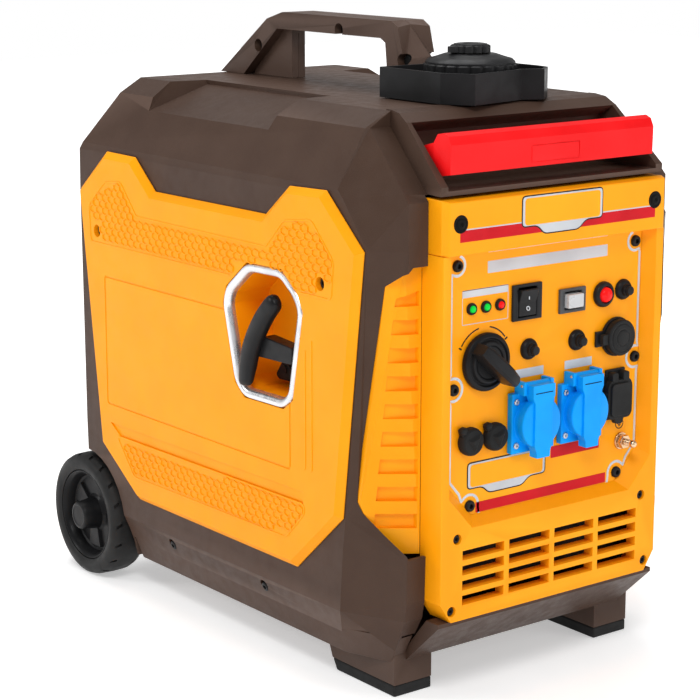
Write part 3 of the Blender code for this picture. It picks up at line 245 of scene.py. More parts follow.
def lathe(profile, place, axis=(0, -1, 0), segments=48, hollow=False):
    """A turned solid. profile holds (radius, distance along the axis), and place is its start. A hollow
    one is a ring, whose profile closes on itself."""
    bm = bmesh.new()
    direction = Vector(axis).normalized()
    turn = direction.to_track_quat("Z", "Y").to_matrix()
    rows = []
    for radius, distance in profile:
        if radius <= 0:
            rows.append([bm.verts.new(place + direction * distance)])
            continue
        rows.append([
            bm.verts.new(place + turn @ Vector((
                radius * math.cos(2 * math.pi * i / segments),
                radius * math.sin(2 * math.pi * i / segments), distance)))
            for i in range(segments)
        ])
    for lower, upper in zip(rows, rows[1:] + rows[:hollow]):
        for i in range(segments):
            j = (i + 1) % segments
            corners = [lower[i % len(lower)], lower[j % len(lower)], upper[j % len(upper)],
                       upper[i % len(upper)]]
            corners = list(dict.fromkeys(corners))
            if len(corners) > 2:
                bm.faces.new(corners)
    for row, flip in ((rows[0], True), (rows[-1], False)):
        if len(row) > 1 and not hollow:
            bm.faces.new(reversed(row) if flip else row)
    bmesh.ops.recalc_face_normals(bm, faces=bm.faces)
    return bm


def loft(rings, closed=True):
    bm = bmesh.new()
    rows = [[bm.verts.new(point) for point in ring] for ring in rings]
    for lower, upper in zip(rows, rows[1:]):
        for i in range(len(lower)):
            j = (i + 1) % len(lower)
            bm.faces.new((lower[i], lower[j], upper[j], upper[i]))
    if closed:
        bm.faces.new(rows[0])
        bm.faces.new(rows[-1])
    bmesh.ops.recalc_face_normals(bm, faces=bm.faces)
    return bm


def arc(cx, cz, radius, start, end, steps=6):
    """Points of an arc, with its angles in degrees."""
    points = []
    for i in range(steps + 1):
        angle = math.radians(start + (end - start) * i / steps)
        points.append((cx + radius * math.cos(angle), cz + radius * math.sin(angle)))
    return points


def rounded(cx, cz, width, height, radius):
    """A rectangle with round corners."""
    w, h = width / 2 - radius, height / 2 - radius
    points = []
    for sx, sz, start in ((1, 1, 0), (-1, 1, 90), (-1, -1, 180), (1, -1, 270)):
        points += arc(cx + sx * w, cz + sz * h, radius, start, start + 90, 5)
    return points


def softened(outline, radius, steps=4):
    """An outline with each corner turned into a short curve."""
    points = []
    count = len(outline)
    for i in range(count):
        here = Vector(outline[i])
        before = Vector(outline[i - 1]) - here
        after = Vector(outline[(i + 1) % count]) - here
        reach = min(radius, before.length * 0.45, after.length * 0.45)
        a = here + before.normalized() * reach
        b = here + after.normalized() * reach
        for k in range(steps + 1):
            t = k / steps
            points.append(tuple((1 - t) ** 2 * a + 2 * t * (1 - t) * here + t * t * b))
    return points


def divided(outline, longest):
    """The same outline, with points added so that no side is longer than a length."""
    points = []
    for i, here in enumerate(outline):
        after = Vector(outline[(i + 1) % len(outline)])
        here = Vector(here)
        count = max(1, math.ceil((after - here).length / longest))
        points += [tuple(here.lerp(after, k / count)) for k in range(count)]
    return points


def offset(outline, distance):
    """The outline moved inwards by a distance, with mitred corners."""
    points = [Vector(p) for p in outline]
    count = len(points)
    area = sum(points[i].cross(points[(i + 1) % count]) for i in range(count))
    inward = 1.0 if area > 0 else -1.0
    moved = []
    for i in range(count):
        before = (points[i] - points[i - 1]).normalized()
        after = (points[(i + 1) % count] - points[i]).normalized()
        normal = Vector((-before.y, before.x)) + Vector((-after.y, after.x))
        moved.append(tuple(points[i] + inward * distance * normal / (1 + before.dot(after))))
    return moved


def merge(target, *sources):
    for source in sources:
        mesh = bpy.data.meshes.new("part")
        source.to_mesh(mesh)
        source.free()
        target.from_mesh(mesh)
        bpy.data.meshes.remove(mesh)
    return target


def piece(name, bm, material, body="enclosure", instead=(), bevel=0.0, segments=2,
          smooth=38):
    """A finished piece on a body, with its material in its one slot."""
    mesh = bpy.data.meshes.new(name)
    bm.to_mesh(mesh)
    bm.free()
    mesh.materials.append(MATERIALS[material])
    mesh.shade_smooth()
    mesh.set_sharp_from_angle(angle=math.radians(smooth))
    obj = bpy.data.objects.new(name, mesh)
    bpy.context.scene.collection.objects.link(obj)
    if bevel:
        round_edges(obj, bevel, segments)
    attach(obj, body)
    if instead:
        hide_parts(*instead)
    return obj


def round_edges(obj, width, segments=2, angle=30):
    modifier = obj.modifiers.new("edges", "BEVEL")
    modifier.width = width
    modifier.segments = segments
    modifier.limit_method = "ANGLE"
    modifier.angle_limit = math.radians(angle)
    modifier.harden_normals = True
    return modifier


def carve(obj, name, bm, body="enclosure"):
    """Cuts real recesses into a piece or a node's shown surface."""
    mesh = bpy.data.meshes.new(name)
    bm.to_mesh(mesh)
    bm.free()
    tool = bpy.data.objects.new(name, mesh)
    bpy.context.scene.collection.objects.link(tool)
    tool.hide_render = True
    tool.hide_viewport = True
    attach(tool, body)
    modifier = obj.modifiers.new(name, "BOOLEAN")
    modifier.operation = "DIFFERENCE"
    modifier.solver = "EXACT"
    modifier.object = tool
    return tool


# CAD nodes that stay in sight: material, edge radius (None leaves their shading), segments and angle
FINISHES = {
    "front_bezel": ("yellow_plastic", 0.0011, 3, 28),
    "fascia_panel": ("yellow_plastic", 0.0009, 3, 30),
    "control_panel": ("yellow_plastic", 0.0, 0, 0),
    "mains_socket_1": ("blue_plastic", 0.0008, 2, 30),
    "mains_socket_2": ("blue_plastic", 0.0008, 2, 30),
    "engine_switch_frame": ("black_plastic", 0.0009, 2, 30),
    "engine_switch_rocker": ("black_plastic", 0.0007, 2, 30),
    "eco_switch_frame": ("grey_plastic", 0.0009, 2, 30),
    "indicator_lamps": ("green_lens", None, 0, 0),
    "dc_socket": ("black_plastic", 0.0007, 2, 30),
    "usb_socket": ("black_plastic", 0.0012, 2, 30),
    "access_panel_left": ("yellow_plastic", 0.0022, 3, 22),
    "access_panel_right": ("yellow_plastic", 0.0022, 3, 22),
    "corner_louvre_left": ("yellow_plastic", 0.0007, 2, 25),
    "corner_louvre_right": ("yellow_plastic", 0.0007, 2, 25),
    "recoil_pocket": ("yellow_plastic", 0.0008, 2, 30),
    "enclosure_left_half": ("brown_plastic", 0.0024, 3, 24),
    "enclosure_right_half": ("brown_plastic", 0.0024, 3, 24),
    "base_pan": ("brown_plastic", 0.0012, 2, 30),
    "front_foot_pad_left": ("black_rubber", 0.0, 0, 0),
    "front_foot_pad_right": ("black_rubber", 0.0, 0, 0),
    "carry_handle_left_half": ("brown_plastic", 0.0034, 4, 30),
    "carry_handle_right_half": ("brown_plastic", 0.0034, 4, 30),
    "pull_handle_hood": ("brown_plastic", 0.0014, 3, 25),
    "pull_handle": ("red_plastic", 0.0034, 4, 22),
    "drip_tray": ("black_plastic", 0.0012, 3, 30),
    "fuel_tank": ("black_plastic", None, 0, 0),
    "wheel_axle": ("steel", None, 0, 0),
    "rear_cover": ("yellow_plastic", 0.001, 2, 30),
    "muffler": ("steel", 0.0, 0, 0),
    "inverter_module": ("cast_aluminium", 0.0, 0, 0),
    "engine_and_alternator": ("cast_aluminium", 0.0, 0, 0),
    "crankshaft_and_rotor": ("steel", 0.0, 0, 0),
    "recoil_housing": ("black_plastic", 0.0, 0, 0),
}


def clean_nodes():
    """Gives each node in sight its material and one face for each flat, ready for cuts."""
    for node, (material, *_) in FINISHES.items():
        obj = NODES[node]
        for slot in obj.material_slots:
            slot.material = MATERIALS[material]
        weld = obj.modifiers.new("weld", "WELD")
        weld.merge_threshold = 1e-5
        flat = obj.modifiers.new("flat", "DECIMATE")
        flat.decimate_type = "DISSOLVE"
        flat.angle_limit = math.radians(0.5)


def round_nodes():
    """Rounds the nodes' edges, those of the cuts as well."""
    for node, (_, width, segments, angle) in FINISHES.items():
        if width:
            round_edges(NODES[node], width, segments, angle)
        if width is not None:
            normals = NODES[node].modifiers.new("normals", "WEIGHTED_NORMAL")
            normals.keep_sharp = True


# Camera, light and floor


def make_stage():
    camera = bpy.data.cameras.new("camera")
    camera.lens = 107.0
    camera.sensor_width = 36.0
    view = bpy.data.objects.new("camera", camera)
    view.location = (-1.221, -1.57125, 0.698)
    view.rotation_euler = (math.radians(77.395), 0.0, math.radians(-37.563))
    bpy.context.scene.collection.objects.link(view)
    bpy.context.scene.camera = view

    world_light = bpy.data.worlds.new("studio")
    world_light.use_nodes = True
    background = world_light.node_tree.nodes["Background"]
    background.inputs["Color"].default_value = (1.0, 1.0, 1.0, 1.0)
    background.inputs["Strength"].default_value = AMBIENT
    backdrop = world_light.node_tree.nodes.new("ShaderNodeBackground")
    sight = world_light.node_tree.nodes.new("ShaderNodeLightPath")
    choice = world_light.node_tree.nodes.new("ShaderNodeMixShader")
    link(world_light.node_tree, sight, "Is Camera Ray", choice, "Fac")
    world_light.node_tree.links.new(background.outputs[0], choice.inputs[1])
    world_light.node_tree.links.new(backdrop.outputs[0], choice.inputs[2])
    backdrop.inputs["Color"].default_value = (1.0, 1.0, 1.0, 1.0)
    output = world_light.node_tree.nodes["World Output"]
    world_light.node_tree.links.new(choice.outputs[0], output.inputs["Surface"])
    bpy.context.scene.world = world_light

    lamps = [
        ("key", (-1.3, -1.5, 2.2), 0.8, 27.0),
        ("front_fill", (1.2, -2.2, 0.9), 1.2, 10.0),
        ("top", (0.2, 0.5, 2.2), 1.4, 24.0),
        ("side_strip", (-2.0, 1.3, 1.2), 0.7, 12.0),
    ]
    for name, place, size, power in lamps:
        data = bpy.data.lights.new(name, "AREA")
        data.shape = "SQUARE"
        data.size = size
        data.energy = power
        lamp = bpy.data.objects.new(name, data)
        lamp.location = place
        aim = Vector((0.0, 0.0, 0.25)) - Vector(place)
        lamp.rotation_euler = aim.to_track_quat("-Z", "Y").to_euler()
        bpy.context.scene.collection.objects.link(lamp)

    bm = bmesh.new()
    bmesh.ops.create_grid(bm, x_segments=1, y_segments=1, size=6.0)
    mesh = bpy.data.meshes.new("floor")
    bm.to_mesh(mesh)
    bm.free()
    floor = bpy.data.objects.new("floor", mesh)
    white = surface("floor", (0.9, 0.9, 0.9), (0.93, 0.93, 0.93), 0.8,
                    Emission_Color=(1.0, 1.0, 1.0, 1.0))
    mesh.materials.append(white)
    brighten_far_floor(white.node_tree)
    bpy.context.scene.collection.objects.link(floor)
    bpy.context.scene.view_settings.view_transform = "Standard"


def brighten_far_floor(tree):
    """The floor glows more with distance, so that it meets the white backdrop without an edge."""
    place = add_node(tree, "ShaderNodeTexCoord")
    distance = add_node(tree, "ShaderNodeVectorMath", operation="LENGTH")
    link(tree, place, "Object", distance, "Vector")
    glow = span(tree, distance, "Value", 0.42, 1.0, 0.8, 2.2)
    link(tree, glow, "Result", tree.nodes["Principled BSDF"], "Emission Strength")


# Fasteners


def screw_head(place, axis, radius, height, drive="hex"):
    """A domed screw head with its drive recess, seated at place and facing along axis."""
    rim = radius * 0.92
    socket = radius * 0.42
    profile = [(0.0, -0.001), (radius * 0.9, -0.001), (radius, 0.0), (radius, height * 0.35),
               (rim, height * 0.75), (radius * 0.7, height), (socket * 1.15, height),
               (socket, height * 0.93), (socket * 0.95, height * 0.25), (0.0, height * 0.25)]
    bm = lathe(profile, place, axis, 6 * 5)
    if drive == "cross":
        turn = Vector(axis).normalized().to_track_quat("Z", "Y").to_matrix().to_4x4()
        for angle in (0, math.pi / 2):
            bar = bmesh.new()
            bmesh.ops.create_cube(bar, size=1.0)
            bar.transform(Matrix.Diagonal((socket * 2.4, radius * 0.16, height * 0.25, 1)))
            bar.transform(Matrix.Rotation(angle, 4, "Z"))
            bar.transform(Matrix.Translation(place) @ turn @ Matrix.Translation((0, 0, height * 0.45)))
            merge(bm, bar)
    return bm


def make_screws(name, places, axis, radius, height, material="black_plastic", drive="hex"):
    heads = bmesh.new()
    for place in places:
        merge(heads, screw_head(place, axis, radius, height, drive))
    piece(name, heads, material)


def plugs(places, profile, axis=(0, -1, 0), segments=24):
    """Turned solids of one profile, to carve wells or to fill them."""
    bm = bmesh.new()
    for place in places:
        merge(bm, lathe(profile, place, axis, segments))
    return bm


def make_panel_screws():
    """Button-head screws that hold the control panel, and the counterbored ones round the front."""
    places = [world(side * x, PANEL_FACE, z) for side in (LEFT, RIGHT) for x, z in CONTROL_SCREWS]
    make_screws("control_panel_screws", places, (0, -1, 0), 0.0052, 0.0032)
    fascia = bmesh.new()
    for side in (LEFT, RIGHT):
        place = world(side * 0.1134, FASCIA_FACE, 0.4245)
        profile = [(0.0, -0.0006), (0.0077, -0.0006), (0.0077, 0.0003), (0.007, 0.0009),
                   (0.006, 0.0004), (0.0, 0.0003)]
        merge(fascia, lathe(profile, place, segments=36))
        merge(fascia, screw_head(place - Vector((0, 0.0003, 0)), (0, -1, 0), 0.0046, 0.0009, "cross"))
    # The counterbore rings and their screw heads are near-black painted shade of the recess.
    piece("fascia_screws", fascia, "hole_shade_black")


# Front


def thick_line(points, width, depth, height, closed=False):
    """A raised printed stripe along (x, z) points."""
    left, right = [], []
    count = len(points)
    for i, point in enumerate(points):
        here = Vector(point)
        before = Vector(points[i - 1]) if i or closed else here
        after = Vector(points[(i + 1) % count]) if i + 1 < count or closed else here
        along = (after - before).normalized()
        normal = Vector((-along.y, along.x)) * width / 2
        left.append(tuple(here + normal))
        right.append(tuple(here - normal))
    if closed:
        return ring_slab(left, right, "Y", depth - height, depth + 0.0003)
    return slab(left + right[::-1], "Y", depth - height, depth + 0.0003)


def printed(name, outline, material, depth=PANEL_FACE, layer=1):
    """A printed patch on the control panel, or on another flat front face."""
    return piece(name, slab(outline, "Y", depth - PRINT * layer, depth + 0.0003), material)


def badge_outline(cx, cz, width, height):
    """A blank name plate's outline: a round-cornered plate with a shallow tab below."""
    half, up, tab = width / 2, height / 2, height * 0.22
    points = [(cx - half, cz + up), (cx - half, cz - up + tab), (cx - half * 0.62, cz - up + tab),
              (cx - half * 0.46, cz - up), (cx + half * 0.4, cz - up), (cx + half * 0.58, cz - up + tab),
              (cx + half, cz - up + tab), (cx + half, cz + up)]
    return softened(points, 0.0045)


def make_badge(name, cx, cz, width, height, depth):
    outline = badge_outline(cx, cz, width, height)
    printed(f"{name}_border", outline, "printed_black", depth, 2)
    printed(f"{name}_rim", offset(outline, 0.0011), "printed_white", depth, 3)
    plate = rounded(cx, cz + height * 0.1, width - 0.0072, height * 0.8 - 0.005, 0.003)
    printed(f"{name}_plate", plate, "yellow_plastic", depth, 5)


def stripe_route():
    """Half of the silver outline stripe: round each panel screw and down to the lower corners."""
    route = arc(0.1046, 0.3865, 0.0086, 110, 306, 12)
    route += [(0.1107, 0.376), (0.1107, 0.2935)]
    route += arc(0.1076, 0.28, 0.01, 66, 294, 14)
    route += [(0.1107, 0.2665), (0.1107, 0.199), (0.1, 0.1865)]
    route += arc(0.088, 0.1743, 0.01, 26, 192, 12)
    route += [(0.077, 0.165)]
    return route


def make_printing():
    stripes = bmesh.new()
    for side in (LEFT, RIGHT):
        route = [(side * x, z) for x, z in stripe_route()]
        merge(stripes, thick_line(route, 0.0024, PANEL_FACE, PRINT * 2))
    merge(stripes, thick_line([(-0.0765, 0.1645), (0.0765, 0.1645)], 0.0024, PANEL_FACE, PRINT * 2))
    merge(stripes, thick_line([(-0.07, 0.3955), (0.07, 0.3955)], 0.0018, PANEL_FACE, PRINT * 2))
    piece("panel_outline_stripe", stripes, "printed_silver")
    printed("header_label", rounded(0.0, 0.3818, 0.141, 0.0104, 0.0006), "printed_white")
    printed("lower_red_band", rounded(-0.0028, 0.1715, 0.1557, 0.0092, 0.0004), "printed_red", layer=2)
    printed("rating_red_band", rounded(0.0365, 0.2062, 0.059, 0.0105, 0.0004), "printed_red", layer=2)
    make_badge("lower_badge", -0.0452, 0.1975, 0.0915, 0.031, PANEL_FACE)
    make_badge("fascia_badge", 0.0015, 0.4245, 0.095, 0.035, FASCIA_FACE)
    printed("fascia_red_band", rounded(0.0, 0.414, 0.228, 0.01, 0.0004), "printed_red", FASCIA_FACE)
    lines = bmesh.new()
    merge(lines, thick_line([(-0.114, 0.4194), (0.114, 0.4194)], 0.001, FASCIA_FACE, PRINT * 1.5))
    piece("fascia_band_edge", lines, "printed_white")
    for index in (1, 2):
        x = centre(f"mains_socket_{index}").x
        printed(f"socket_label_{index}", rounded(x, 0.2835, 0.033, 0.0078, 0.0004), "printed_white")
    box = rounded(-0.0726, 0.3495, 0.052, 0.03, 0.0012)
    merge_box = ring_slab(box, offset(box, 0.0006), "Y", PANEL_FACE - PRINT, PANEL_FACE + 0.0002)
    piece("lamp_box_outline", merge_box, "printed_white")
    printed("lamp_box_header", rounded(-0.0726, 0.3612, 0.0512, 0.0064, 0.0004), "printed_white")
    make_dial_marks()
    make_earth_symbol()


def make_dial_marks():
    """Printed arcs that show the knob's travel."""
    knob = centre("fuel_and_choke_knob")
    marks = bmesh.new()
    for start, end in ((102, 148), (38, 78)):
        merge(marks, thick_line(arc(knob.x, knob.z, 0.03, start, end, 10), 0.0011, PANEL_FACE, PRINT * 2))
    for angle in (152, 34):
        a = math.radians(angle)
        points = [(knob.x + r * math.cos(a), knob.z + r * math.sin(a)) for r in (0.0285, 0.0318)]
        merge(marks, thick_line(points, 0.0014, PANEL_FACE, PRINT * 2))
    piece("dial_marks", marks, "printed_black")


def make_earth_symbol():
    x, z = EARTH_SYMBOL
    marks = bmesh.new()
    merge(marks, thick_line(arc(x, z, 0.0046, 0, 352, 28), 0.0008, PANEL_FACE, PRINT * 2))
    merge(marks, thick_line([(x, z + 0.003), (x, z)], 0.0008, PANEL_FACE, PRINT * 2))
    for half, drop in ((0.0024, 0.0), (0.0016, 0.0011), (0.0008, 0.0022)):
        bar = [(x - half, z - drop), (x + half, z - drop)]
        merge(marks, thick_line(bar, 0.0007, PANEL_FACE, PRINT * 2))
    piece("earth_symbol", marks, "printed_black")


def make_front_nodes():
    well = [(0.0, -0.004), (0.0042, -0.004), (0.0048, 0.001), (0.0, 0.001)]
    bores = plugs([world(x, 0.0, z) for x, z in BEZEL_SCREWS], well)
    carve(NODES["front_bezel"], "bezel_screw_bores", bores)
    places = [world(x, BEZEL_SCREW_DEPTH, z) for x, z in BEZEL_SCREWS]
    make_screws("bezel_screws", places, (0, -1, 0), 0.004, 0.0024)
    baffle = slab(rounded(0.0, 0.12, 0.226, 0.068, 0.003), "Y", 0.034, 0.0365)
    piece("intake_baffle", baffle, "black_rubber", bevel=0.0005)


def make_socket(index):
    """A mains socket: its flange with screws, hinge ears with a pin, and the sprung lid."""
    node = f"mains_socket_{index}"
    low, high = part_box(node)
    x = (low.x + high.x) / 2
    flange_z = low.z + 0.027
    seat = PANEL_FACE - 0.0003
    face = seat - 0.006
    places = [world(x + sx * 0.02, face, flange_z + sz * 0.0195) for sx in (LEFT, RIGHT) for sz in (-1, 1)]
    make_screws(f"socket_screws_{index}", places, (0, -1, 0), 0.003, 0.0014, "steel", "cross")
    lid_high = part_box(f"socket_lid_{index}")[1]
    back = lid_high.y - FRONT - 0.003
    hinge_z = lid_high.z - 0.003
    rim = [(0.0, 0.0), (0.0223, 0.0), (0.0225, 0.0004), (0.0225, 0.0062), (0.0219, 0.0071),
           (0.0205, 0.0076), (0.0, 0.0079)]
    body = lathe(rim, world(x, back, flange_z), segments=64)
    band = [(-0.0103, flange_z - 0.02), (-0.008, flange_z - 0.0245), (-0.0078, flange_z - 0.0305),
            (0.0078, flange_z - 0.0305), (0.008, flange_z - 0.0245), (0.0103, flange_z - 0.02),
            (0.0103, flange_z + 0.019), (0.0128, flange_z + 0.0235), (0.0128, hinge_z + 0.001),
            (-0.0128, hinge_z + 0.001), (-0.0128, flange_z + 0.0235), (-0.0103, flange_z + 0.019)]
    band = softened([(x + a, z) for a, z in band], 0.0012, 3)
    merge(body, slab(band, "Y", back - 0.0098, back - 0.0005))
    merge(body, lathe([(0.0, 0.0), (0.003, 0.0), (0.003, 0.026), (0.0, 0.026)],
                      Vector((x - 0.013, FRONT + back + 0.0003, hinge_z)), (1, 0, 0), 24))
    seam = slab(rounded(x, hinge_z - 0.0062, 0.02, 0.0007, 0.0003), "Y", back - 0.0101, back - 0.0095)
    piece(f"lid_{index}", body, "blue_plastic", f"socket_lid_{index}",
          [f"socket_lid_{index}"], bevel=0.0007, segments=2)
    # The lid's slot is a thin near-black slab: painted shade in the groove.
    piece(f"lid_slot_{index}", seam, "hole_shade_black", f"socket_lid_{index}")
    pins = bmesh.new()
    for side in (LEFT, RIGHT):
        start = Vector((x + side * 0.0172, FRONT + back + 0.0003, hinge_z))
        merge(pins, lathe([(0.0, 0.0), (0.0012, 0.0), (0.0013, 0.0004), (0.001, 0.0007), (0.0, 0.0007)],
                          start, (side, 0, 0), 16))
    piece(f"hinge_pin_{index}", pins, "steel")


def make_engine_switch():
    low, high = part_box("engine_switch_rocker")
    x, z = (low.x + high.x) / 2, (low.z + high.z) / 2
    marks = bmesh.new()
    lean = math.radians(9)
    for kind, offset_z in (("on", 0.005), ("off", -0.0052)):
        bm = bmesh.new()
        if kind == "on":
            merge(bm, slab(rounded(0.0, 0.0, 0.0009, 0.0046, 0.0004), "Y", 0.0, 0.0005))
        else:
            ring = arc(0.0, 0.0, 0.0021, 0, 348, 24)
            inner = arc(0.0, 0.0, 0.0013, 0, 348, 24)
            merge(bm, ring_slab(ring, inner, "Y", 0.0, 0.0005))
        bm.transform(Matrix.Translation((0, -FRONT, 0)))
        slope = 0.105 if kind == "off" else -0.105
        bm.transform(Matrix.Rotation(-slope - lean, 4, "X"))
        proud = 0.0004 if kind == "off" else 0.0
        bm.transform(Matrix.Translation((x, switch_face(offset_z, lean) - proud, z + offset_z)))
        merge(marks, bm)
    piece("engine_switch_marks", marks, "printed_white", "engine_switch_rocker")


def switch_face(up, lean):
    """The y of the engine rocker's face at a height from its middle."""
    pivot = PANEL_FACE - 0.0003 - 0.0027 + 0.002
    rise = 0.15 * 0.026
    reach = 0.026 / 2 - 0.0012
    bow = -0.55 * rise - 0.45 * rise * abs(up) / reach
    return FRONT + pivot + bow * math.cos(lean) - up * math.sin(lean) - 0.00025


def make_eco_switch():
    low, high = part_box("eco_switch_rocker")
    x, z = (low.x + high.x) / 2, (low.z + high.z) / 2
    block = slab(rounded(x, z - 0.0004, 0.0182, 0.0122, 0.0012), "Y", low.y - FRONT - 0.0028,
                 high.y - FRONT)
    piece("eco_switch_button", block, "white_plastic", "eco_switch_rocker",
          ["eco_switch_rocker"], bevel=0.0009, segments=3)


def make_reset_and_breakers():
    x, _, z = centre("reset_button_bezel")
    seat = world(x, PANEL_FACE, z)
    ring = [(0.0071, 0.0), (0.0112, 0.0), (0.0117, 0.001), (0.0113, 0.0036), (0.01, 0.0051),
            (0.0082, 0.0055), (0.0075, 0.005), (0.0071, 0.004)]
    piece("reset_ring", lathe(ring, seat, hollow=True), "black_plastic", "enclosure",
          ["reset_button_bezel"])
    dome = [(0.0, 0.0008), (0.0067, 0.0008), (0.0067, 0.0048)]
    dome += [(0.0067 * math.cos(a), 0.0048 + 0.0048 * math.sin(a))
             for a in [math.pi / 2 * k / 8 for k in range(1, 8)]] + [(0.0, 0.0096)]
    piece("reset_dome", lathe(dome, seat, segments=48), "red_lens", "reset_button",
          ["reset_button"])
    for index in (1, 2, 3):
        x, _, z = centre(f"breaker_{index}")
        seat = world(x, PANEL_FACE, z)
        nut = [(0.0045, 0.0), (0.0093, 0.0), (0.0095, 0.001), (0.0091, 0.0024), (0.008, 0.004),
               (0.0068, 0.0047), (0.0059, 0.0049), (0.0055, 0.0072), (0.005, 0.0076), (0.0045, 0.0072)]
        piece(f"breaker_nut_{index}", lathe(nut, seat, hollow=True), "black_plastic",
              "enclosure", [f"breaker_{index}"])
        stem = [(0.0, 0.001), (0.0042, 0.001), (0.0042, 0.0102), (0.0038, 0.011), (0.0024, 0.0113),
                (0.0, 0.0111)]
        button = f"breaker_button_{index}"
        piece(f"breaker_stem_{index}", lathe(stem, seat, segments=32), "black_plastic", button, [button])


def make_knob():
    x, z = KNOB
    seat = world(x, PANEL_FACE, z)
    disc = [(0.0, 0.0004), (0.024, 0.0004), (0.0254, 0.0012), (0.0255, 0.0048), (0.0249, 0.006),
            (0.0222, 0.0076), (0.0212, 0.0074), (0.0204, 0.006), (0.0196, 0.0058), (0.019, 0.0064),
            (0.0182, 0.0084), (0.0168, 0.0091), (0.015, 0.0088), (0.014, 0.0078), (0.0, 0.0074)]
    body = lathe(disc, seat, segments=72)
    grip = lever_shape()
    turn = Matrix.Rotation(math.radians(42), 4, "Y")
    grip.transform(Matrix.Translation(Vector((x, FRONT, z))) @ turn)
    merge(body, grip)
    piece("knob", body, "black_plastic", "fuel_and_choke_knob",
          ["fuel_and_choke_knob"], bevel=0.0009, segments=3)


def lever_shape():
    """The knob's grip bar, which narrows and rises to its free end."""
    rings = []
    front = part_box("fuel_and_choke_knob")[0].y - FRONT
    for along, half, top in ((-0.0225, 0.0052, 0.0035), (-0.015, 0.0066, 0.001), (0.0, 0.0072, 0.0),
                             (0.014, 0.0068, 0.0), (0.0245, 0.0058, 0.001), (0.0285, 0.004, 0.0035)):
        ring = []
        for u, v in ((-1.0, 1.0), (-1.0, 0.45), (-0.86, 0.1), (-0.5, 0.0), (0.5, 0.0), (0.86, 0.1),
                     (1.0, 0.45), (1.0, 1.0)):
            high = front + top
            low = PANEL_FACE - 0.007
            ring.append(Vector((along, high + (low - high) * v, u * half)))
        rings.append(ring)
    return loft(rings)


def make_lamps():
    bezels = bmesh.new()
    low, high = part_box("indicator_lamps")
    z = (low.z + high.z) / 2
    pitch = (high.x - low.x - 0.016) / 2
    lenses = {"green_lens": bmesh.new(), "red_lens": bmesh.new()}
    for index in range(3):
        x = low.x + 0.008 + index * pitch
        seat = world(x, PANEL_FACE, z)
        merge(bezels, lathe([(0.0031, 0.0), (0.0052, 0.0), (0.0053, 0.0014), (0.0047, 0.0027),
                                    (0.0038, 0.0031), (0.0032, 0.0024)], seat, segments=36, hollow=True))
        dome = [(0.0, 0.0004), (0.0031, 0.0004), (0.0031, 0.0026), (0.0028, 0.0036), (0.0018, 0.0044),
                (0.0, 0.0048)]
        merge(lenses["red_lens" if index == 2 else "green_lens"], lathe(dome, seat, segments=28))
    piece("lamp_bezels", bezels, "black_plastic")
    for name, bm in lenses.items():
        piece(f"{name}es", bm, name)


def make_dc_cap():
    x, z = DC_OUTLET
    seat = world(x, PANEL_FACE, z)
    cap = [(0.0, 0.0034), (0.016, 0.0034), (0.0165, 0.004), (0.0165, 0.0092), (0.0158, 0.0102),
           (0.014, 0.0106), (0.0134, 0.0101), (0.0126, 0.0101), (0.0121, 0.0108), (0.0086, 0.0111),
           (0.008, 0.0106), (0.0072, 0.0106), (0.0067, 0.0113), (0.0048, 0.0118), (0.0, 0.0119)]
    body = lathe(cap, seat, segments=64)
    arm = slab(rounded(x - 0.0172, z, 0.0105, 0.0094, 0.0015), "Y", PANEL_FACE - 0.0085,
               PANEL_FACE - 0.0036)
    merge(body, arm)
    piece("dc_cap", body, "black_rubber", "dc_socket_cap", ["dc_socket_cap"], bevel=0.0005)


def make_usb_cap():
    x, z = USB_OUTLET
    front, back = PANEL_FACE - 0.0118, PANEL_FACE - 0.0033
    shape = [(-0.012, -0.0185), (0.012, -0.0185), (0.0152, -0.014), (0.0152, 0.012), (0.012, 0.0175),
             (-0.012, 0.0175), (-0.0152, 0.012), (-0.0152, -0.014)]
    outline = softened([(x + a, z + b) for a, b in shape], 0.003)
    body = slab(outline, "Y", front + 0.0022, back)
    raised = softened(offset([(x + a, z + b) for a, b in shape], 0.003), 0.0026)
    merge(body, slab(raised, "Y", front, front + 0.003))
    tab = softened([(x - 0.0065, z - 0.017), (x - 0.004, z - 0.0235), (x + 0.004, z - 0.0235),
                    (x + 0.0065, z - 0.017)], 0.0018)
    merge(body, slab(tab, "Y", front + 0.003, back))
    for side in (LEFT, RIGHT):
        bump = rounded(x + side * 0.0068, z + 0.02, 0.0074, 0.009, 0.0024)
        merge(body, slab(bump, "Y", front + 0.0018, back))
        for k in range(4):
            rib = rounded(x + side * 0.0152, z - 0.01 + 0.0052 * k, 0.002, 0.0026, 0.0006)
            merge(body, slab(rib, "Y", front + 0.0035, back))
    piece("usb_cap", body, "black_rubber", "usb_socket_cap", ["usb_socket_cap"], bevel=0.0009, segments=3)


